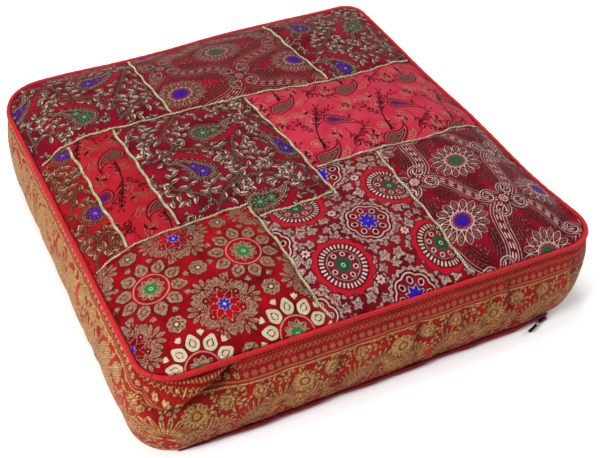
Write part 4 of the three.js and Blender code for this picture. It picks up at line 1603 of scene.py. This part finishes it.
def fold_out(fold, along, drop):
    """How far a fold moves the boxing out."""
    aside, above, fade = fold_place(fold, along, drop)
    trough = fold["depth"] * np.exp(-aside / np.where(above, fold["steep"], fold["gentle"]))
    half = fold["reach"] / 2
    roll = fold["roll"] * np.where(above, hump(aside - half, half), 0)
    return fade * (roll - trough)


def fold_hang(along, drop):
    """How far the rolls above the creases hang down over them."""
    hang = 0
    for fold in FOLDS:
        aside, above, fade = fold_place(fold, along, drop)
        near = np.where(above, hump(aside, fold["reach"]), hump(aside, 3))
        hang = hang + fade * fold.get("hang", 0) * near
    return hang


def painted_crease_shade(along, drop):
    """Painted shade: how much the cloth's colour is darkened where it goes into the creases, standing in for
    their shadow.
    """
    painted_shade = 0
    for fold in FOLDS:
        aside, above, fade = fold_place(fold, along, drop)
        share = min(fold["depth"] / FOLDS[0]["depth"], 1) ** 0.5
        painted_shade = painted_shade + share * fade * np.exp(-aside / np.where(above, 1.5, 1.2 * fold["gentle"]))
    return np.minimum(painted_shade, 1)


BODY_CELLS = 110  # for each side of the body under the outer cloth
BODY_ROWS = 26
BODY_GROOVE = (195, 215, 235)  # angles round the piping, in degrees, where the body follows its groove
BACKING_ROWS = 14
UNDER = 2.5  # of the boxing and the patches, to the body


def cover_body(swell, material):
    """The filled body: a plain cloth that shows at the foot, under boxing and patches."""
    plan, out = seam_round(BODY_CELLS)
    round_share = np.arange(len(plan)) / len(plan)
    drops, outs, lengths = smooth_rows(BODY_ROWS)
    run = np.cumsum(np.hypot(*(plan - np.roll(plan, 1, 0)).T))
    along = np.where(round_share > 0.75, run - run[-1], run)
    kept_back = UNDER * hump(np.linspace(-0.55, 0.98, BODY_ROWS), 1)
    under = -kept_back[:, None] - fold_hollow(along, drops[:, None])
    boxing = boxing_form(plan, out, drops, outs, under)
    for row, share in zip(boxing, lengths / lengths[-1]):
        row += swell.on_side(round_share, np.full(len(plan), share))
    groove = [ring_round_seam(plan, out, GROOVE_RADIUS, angle) for angle in np.radians(BODY_GROOVE)]
    backing = []
    for share in np.linspace(0.08, 0.97, BACKING_ROWS):
        x, y = ((plan + EDGE_OUT * out) * share).T
        backing.append(top_point(x, y, -UNDER - SEAM_SINK) + swell.on_top(x, y))
    rings = backing + groove + list(boxing)
    middle = top_point(np.zeros(1), np.zeros(1), -UNDER - SEAM_SINK)
    points = np.concatenate(rings + [middle, np.zeros((1, 3))])
    count = len(plan)
    last = np.arange((len(rings) - 1) * count, len(rings) * count)
    faces = [
        grid_faces(len(rings), count, wrap=True)[:, ::-1],
        fan_faces(np.arange(count), len(points) - 2),
        fan_faces(last[::-1], len(points) - 1),
    ]
    piece = make_piece("cover_body", points, faces, material, {"cloth": points})
    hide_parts("cushion_body")


BOXING_ROWS = 88
BOXING_HEM = 9  # turned under the foot
BOXING_GROOVE = (205, 219, 233)  # angles round the piping, in degrees, where the boxing goes into its groove
GROOVE_DROP = (-4.5, -3, -1.5)  # of those rows, on the flat cloth

# Strips of border cloth, each round two sides: its start, in sides from the front left corner, and columns
STRIPS = dict(
    front_left=dict(first=-1, columns=820),
    back_right=dict(first=1, columns=640),
)


def pulled(distance, ys, down):
    """A thread's distances where each column of the cloth has been drawn up, at its own places down."""
    columns = [np.interp(places, ys, column) for places, column in zip(down.T, distance.T)]
    return np.stack(columns, 1)


def strip_line(strip):
    """Places along a strip, in sides and in millimetres, with the seam's points and the ways out of it."""
    turns = np.linspace(strip["first"], strip["first"] + 2, strip["columns"] + 1)
    side = np.floor(turns).astype(int) % 4
    step = 2 * (turns - np.floor(turns)) - 1
    one = np.ones_like(step)
    u = np.choose(side, [step, one, -step, -one])
    v = np.choose(side, [-one, step, one, -step])
    plan, out = seam_at(u, v)
    run = np.concatenate([[0], np.cumsum(np.hypot(*np.diff(plan, axis=0).T))])
    along = run + np.interp(0, turns, -run) if strip["first"] < 0 else run + SIDE
    return turns, along, plan, out


def boxing_strip(name, strip, swell, material, rng):
    """A strip of border cloth with its folds, from the piping's groove to a hem under the foot."""
    turns, along, plan, out = strip_line(strip)
    drops, outs, lengths = smooth_rows(BOXING_ROWS)
    border = Cloth(along, np.linspace(0, lengths[-1] + BORDER_PULL, BOXING_ROWS + 10))
    paint_border(border, rng)
    down = lengths[:, None] + BORDER_PULL * smoothstep(-along, -30, 50)
    threads = {thread: pulled(distance, border.ys, down) for thread, distance in border.threads.items()}
    raised = FIGURE_RAISE * smoothstep(-threads["figure"], -0.5, 0.5)
    extra = raised + sum(fold_out(fold, along, drops[:, None]) for fold in FOLDS)
    rows = boxing_form(plan, out, drops, outs, extra)
    rows[..., 2] -= fold_hang(along, drops[:, None])
    for row, share in zip(rows, lengths / lengths[-1]):
        row += swell.on_side(turns / 4, np.full(len(plan), share))
    groove = [ring_round_seam(plan, out, GROOVE_RADIUS, angle) for angle in np.radians(BOXING_GROOVE)]
    inward = np.concatenate([-out * BOXING_HEM, 0 * out[:, :1]], 1)
    points = np.concatenate([groove, rows, [rows[-1] + inward + [0, 0, 0.4]]])

    plain = np.full((1, len(along)), FAR)
    attributes = {}
    for thread, distance in threads.items():
        attributes[thread] = np.concatenate([plain] * len(groove) + [distance, plain]).ravel()
    down = np.concatenate([GROOVE_DROP, lengths, [lengths[-1] + BOXING_HEM]])
    flat_x, flat_y = np.meshgrid(along, down)
    attributes["cloth"] = np.stack([flat_x, flat_y, 0 * flat_x], -1).reshape(-1, 3)
    # Painted shade in the creases, carried to the material by the crease attribute
    painted_shade = painted_crease_shade(along, drops[:, None])
    attributes["crease"] = np.concatenate([painted_shade[:1]] * len(groove) + [painted_shade, painted_shade[-1:]]).ravel()
    faces = grid_faces(len(points), len(along))[:, ::-1]
    piece = make_piece("boxing_" + name, points.reshape(-1, 3), [faces], material, attributes)


# Piping, braids and zip

PIPING_COLUMNS = 330  # for each side
PIPING_SIDES = 14
CORD_RADIUS = 2.8  # a little less than the room for it in the groove
PIPING_JOINT = (-251, -2)


def piping_cord():
    """Cloth wound on the bias round a cord."""
    plan, out = seam_round(PIPING_COLUMNS)
    along = np.cumsum(np.hypot(*(plan - np.roll(plan, 1, 0)).T))
    joint = 0.9 * hump(np.hypot(*(plan - PIPING_JOINT).T), 6)
    rows = []
    flat = []
    for k in range(PIPING_SIDES):
        angle = -2 * np.pi * k / PIPING_SIDES
        bias = 0.10 * np.sin(along / 1.9 + 1.5 * angle) + 0.14 * np.sin(along / 17 + 2 * angle)
        bias += 0.1 * np.sin(along / 5.3 - angle) * np.sin(along / 41) + joint
        level = off_seam(plan, out, (CORD_RADIUS + bias) * np.cos(angle), 0 * along)
        level[:, 2] += (CORD_RADIUS + bias) * np.sin(angle)
        rows.append(settle(level))
        round_cord = np.full(len(along), -angle * CORD_RADIUS)
        flat.append(np.stack([along, round_cord, 0 * along], -1))
    faces = grid_faces(PIPING_SIDES + 1, len(plan), wrap=True) % (PIPING_SIDES * len(plan))
    piece = make_piece(
        "piping_cord", np.concatenate(rows), [faces[:, ::-1]], piping_satin(),
        {"cloth": np.concatenate(flat)},
    )
    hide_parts("piping_top")


PLAIT_STEP = 0.7
PLAIT_PITCH = 8
PLAIT_SWING = 0.9
PLAIT_LIFT = 0.6
STRAND_HALF = (0.5, 0.45)
STRAND_SIDES = 6


def plait(name, stops, swell, material, rng):
    """Three flat strands of zari, plaited over a patch seam."""
    line = curve_through(stops, PLAIT_STEP)
    count = len(line)
    ahead = np.gradient(line, axis=0)
    ahead /= np.hypot(*ahead.T)[:, None]
    side = np.stack([-ahead[:, 1], ahead[:, 0]], -1)
    along = PLAIT_STEP * np.arange(count)
    phase = rng.uniform(0, 6, 3)
    wander = 0.7 * np.sin(along / 5 + phase[0]) + 0.6 * np.sin(along / 17 + phase[1])
    plump = 1 + 0.25 * np.sin(along / 3.1 + phase[2]) * np.sin(along / 11 + phase[0])
    points, faces, flat = [], [], []
    angles = 2 * np.pi * np.arange(STRAND_SIDES) / STRAND_SIDES
    for k in range(3):
        turn = 2 * np.pi * (along / PLAIT_PITCH + k / 3)
        across = PLAIT_SWING * np.sin(turn) + wander
        lift = PLAIT_LIFT * np.sin(2 * turn) + 0.9 + 0.12 * np.sin(along / 5 + phase[2])
        start = sum(len(p) for p in points)
        rows = []
        for angle in angles:
            reach = across + plump * STRAND_HALF[0] * np.cos(angle)
            px, py = (line + reach[:, None] * side).T
            height = lift + plump * STRAND_HALF[1] * np.sin(angle)
            rows.append(top_point(px, py, height + seam_relief(*line.T)) + swell.on_top(px, py))
        strand = np.stack(rows, 1).reshape(-1, 3)
        points.append(strand)
        grid = grid_faces(count, STRAND_SIDES, wrap=True, start=start)
        first = start + np.arange(STRAND_SIDES)
        faces += [grid, first[None, ::-1], first[None] + (count - 1) * STRAND_SIDES]
        around = np.tile(np.arange(STRAND_SIDES), count) * 0.8 + 5 * k
        # how far each strand rises over the others, which the braid's material turns into painted shade
        # where it is low
        over = np.repeat(np.sin(2 * turn), STRAND_SIDES)
        flat.append(np.stack([np.repeat(along, STRAND_SIDES), around, over], -1))
    piece = make_piece(
        "plait_" + name, np.concatenate(points), faces, material, {"cloth": np.concatenate(flat)}
    )
    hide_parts("braid_" + name)


def by_foot(plan, out, outward, height):
    """Points beside the boxing's foot: so far out from it and so high over the floor."""
    height = np.broadcast_to(height, len(plan))
    clear = np.maximum(height, SEAM_HEIGHT - BOXING_DROP[-2])
    drop = SEAM_HEIGHT - clear
    way = np.interp(drop, BOXING_DROP, BOXING_OUT) * fullness(plan) - tuck(plan) * (drop / SEAM_HEIGHT) ** 2
    return settle(off_seam(plan, out, way + outward, height - SEAM_HEIGHT))


FLAP_COLUMNS = 240
FLAP_TAPER = 26  # columns over which it comes to its full height
FLAP_FLARE = 3.8
FLAP_FIRST, FLAP_LAST = 0.05, 0.9  # shares of the front between which the flap runs
FLAP_RISE = 8.2
SEAT_GAP = 0.4

# The flap's section from its upper edge down the inside and up the outside: shares of its flare and rise
FLAP_SECTION = [
    (0.0, 1.0), (0.0, 0.75), (0.0, 0.5), (0.0, 0.25), (0.0, 0.0), (0.4, -0.02), (0.78, 0.02), (0.95, 0.12),
    (1.0, 0.3), (1.0, 0.5), (0.92, 0.66), (0.72, 0.76), (0.86, 0.86), (0.8, 0.95), (0.5, 1.02),
]


def zip_flap(material):
    """The lip of cloth over the zip, folded at its free edge and sewn along its upper one."""
    u = -1 + 2 * np.linspace(FLAP_FIRST, FLAP_LAST, FLAP_COLUMNS)
    plan, out = seam_at(u, -np.ones_like(u))
    along = plan[:, 0]
    ripple = 1.3 * np.sin(along / 13) * np.sin(along / 37) + 0.3 * np.sin(along / 4.7)
    taper = 0.35 + 0.65 * smoothstep(np.arange(FLAP_COLUMNS), 0, FLAP_TAPER)
    rows, flat = [], []
    for k, (outward, height) in enumerate(FLAP_SECTION):
        z = FLOOR_GAP + height * (FLAP_RISE - FLOOR_GAP) * taper
        reach = SEAT_GAP + outward * (FLAP_FLARE + ripple) * taper
        rows.append(by_foot(plan, out, reach, z))
        flat.append(np.stack([along, 0 * along + 1.2 * k, 0 * along], -1))
    points = np.stack(rows, 1).reshape(-1, 3)
    count = len(FLAP_SECTION)
    faces = grid_faces(FLAP_COLUMNS, count, wrap=True)
    end = np.arange(count)
    caps = [end[None], (len(points) - count + end)[None, ::-1]]
    piece = make_piece(
        "flap_cloth", points, [faces[:, ::-1]] + caps, material,
        {"cloth": np.stack(flat, 1).reshape(-1, 3)},
    )
    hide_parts("zip_flap")


SLIDER = dict(width=9, depth=3.6, height=4.4, x=194)
PULL = dict(length=22, width=3.2, thickness=1.4, outward=0.24, down=0.05)


def slider_place(x):
    """Where the slider stands outside the flap, that far along the front."""
    plan, out = seam_at(np.array([x / HALF]), -np.ones(1))
    outward = FLAP_THICKNESS + 3 * SEAT_GAP + SLIDER["depth"] / 2
    return by_foot(plan, out, outward, FLOOR_GAP + SLIDER["height"] / 2)[0]


def metal_piece(name, node, boxes, matrix, material):
    """One piece of rounded boxes, each a size and a place, put where a matrix in millimetres has it."""
    solid = bmesh.new()
    for size, place in boxes:
        box = Matrix.LocRotScale(Vector(place), None, Vector(size))
        made = bmesh.ops.create_cube(solid, size=1, matrix=box)
        edges = list({edge for corner in made["verts"] for edge in corner.link_edges})
        bmesh.ops.bevel(solid, geom=edges, offset=min(size) * 0.3, segments=3, affect="EDGES", profile=0.6)
    solid.transform(matrix)
    points = np.array([corner.co for corner in solid.verts])
    solid.verts.index_update()
    faces = [np.array([[corner.index for corner in face.verts]]) for face in solid.faces]
    solid.free()
    piece = make_piece(name, points, faces, material)
    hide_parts(node)


def zip_slide(metal):
    """The slider, two plates round a core with a bridge on its face, and the tab that it is drawn by."""
    place, ahead = slider_place(SLIDER["x"]), slider_place(SLIDER["x"] + SLIDER["width"])
    heading = np.arctan2(ahead[1] - place[1], ahead[0] - place[0])
    group = Matrix.Translation(place) @ Matrix.Rotation(heading, 4, "Z")
    width, depth, height = SLIDER["width"], SLIDER["depth"], SLIDER["height"]
    plates = [
        ((width, 1.1, height), (0, 0.55 - depth / 2 + 0.5, 0)),
        ((width, 1.1, height), (0, depth / 2 - 0.55, 0)),
        ((width * 0.45, depth - 1.2, height * 0.4), (width * 0.2, 0, 0)),
        ((width * 0.6, 0.9, height * 0.34), (-width * 0.08, -depth / 2 + 0.45, 0)),
    ]
    metal_piece("slider_body", "zip_slider", plates, group, metal)
    turn = np.arctan(PULL["outward"])
    root = Vector((-width / 2 - SEAT_GAP - PULL["width"] / 2 * np.sin(turn), -2 * SEAT_GAP, 0))
    hang = Matrix.Rotation(np.pi + turn, 4, "Z") @ Matrix.Rotation(-np.arctan(PULL["down"]), 4, "Y")
    length, wide, thick = PULL["length"], PULL["width"], PULL["thickness"]
    rail = wide * 0.26
    bars = [
        ((length * 0.36, rail, thick * 0.8), (length * 0.18, wide / 2 - rail / 2, 0)),
        ((length * 0.36, rail, thick * 0.8), (length * 0.18, rail / 2 - wide / 2, 0)),
        ((length * 0.06, wide, thick * 0.8), (length * 0.03, 0, 0)),
        ((length * 0.66, wide, thick), (length * 0.67, 0, 0)),
    ]
    metal_piece("pull_tab", "zip_pull", bars, group @ Matrix.Translation(root) @ hang, metal)


# Floor, light and camera

CAMERA_PLACE = (-407.9, -737.1, 733.5)
CAMERA_TARGET = (-61.1, -105.3, 100)
CAMERA_ROLL = 2.69
FOCAL_PIXELS = 951.75
PHOTO_SIZE = (600, 458)
PHOTO_MIDDLE = (270, 229)  # where the line of sight meets the picture
SENSOR = 36
FLOOR_REACH = 6.0
FLOOR_DROP = 0.0005
WORLD_STRENGTH = 0.5

# Lights in metres and watts
LIGHTS = dict(
    above=dict(place=(0.0, 0.45, 1.85), aim=(0, 0, 0.1), size=0.9, power=20),
    left=dict(place=(-1.7, -0.5, 1.1), aim=(-0.1, 0, 0.05), size=0.6, power=43),
    right=dict(place=(1.7, -0.4, 1.0), aim=(0.2, 0, 0.0), size=1.0, power=12),
)


def add_camera():
    data = bpy.data.cameras.new("camera")
    data.sensor_width = SENSOR
    data.lens = FOCAL_PIXELS * SENSOR / PHOTO_SIZE[0]
    data.shift_x = (PHOTO_SIZE[0] / 2 - PHOTO_MIDDLE[0]) / PHOTO_SIZE[0]
    data.shift_y = (PHOTO_MIDDLE[1] - PHOTO_SIZE[1] / 2) / PHOTO_SIZE[0]
    camera = bpy.data.objects.new("camera", data)
    place = Vector(CAMERA_PLACE) * METRES
    look = Vector(CAMERA_TARGET) * METRES - place
    turn = look.to_track_quat("-Z", "Y").to_matrix().to_4x4()
    camera.matrix_world = Matrix.Translation(place) @ turn @ Matrix.Rotation(np.radians(CAMERA_ROLL), 4, "Z")
    bpy.context.scene.collection.objects.link(camera)
    bpy.context.scene.camera = camera


def add_light(name, place, aim, size, power):
    data = bpy.data.lights.new(name, "AREA")
    data.shape = "DISK"
    data.size = size
    data.energy = power
    light = bpy.data.objects.new(name, data)
    light.location = place
    light.rotation_euler = (Vector(aim) - Vector(place)).to_track_quat("-Z", "Y").to_euler()
    bpy.context.scene.collection.objects.link(light)


def add_studio():
    floor = bpy.data.meshes.new("floor")
    corners = [(FLOOR_REACH * x, FLOOR_REACH * y, 0) for x, y in ((-1, -1), (1, -1), (1, 1), (-1, 1))]
    floor.from_pydata(corners, [], [range(4)])
    floor.materials.append(pale_floor())
    stage = bpy.data.objects.new("floor", floor)
    stage.location.z = -FLOOR_DROP
    bpy.context.scene.collection.objects.link(stage)
    world = bpy.data.worlds.new("studio")
    world.use_nodes = True
    sky = world.node_tree.nodes["Background"].inputs
    sky["Color"].default_value = (1, 1, 1, 1)
    sky["Strength"].default_value = WORLD_STRENGTH
    bpy.context.scene.world = world
    for name, light in LIGHTS.items():
        add_light(name, **light)
    bpy.context.scene.view_settings.view_transform = "Standard"


SEED = 7


def build():
    rng = np.random.default_rng(SEED)
    add_camera()
    add_studio()
    materials = {name: brocade("brocade_" + name, palette) for name, palette in PALETTES.items()}
    cotton = flap_cotton()
    swell = swell_cover()
    cover_body(swell, cotton)
    for name, strip in STRIPS.items():
        boxing_strip(name, strip, swell, materials["border"], rng)
    for name, patch in PATCHES.items():
        patch_sheet(name, patch, swell, materials, rng)
    piping_cord()
    zari = zari_braid()
    for name, stops in SEAMS.items():
        plait(name, stops, swell, zari, rng)
    zip_flap(cotton)
    zip_slide(zip_metal())


build()
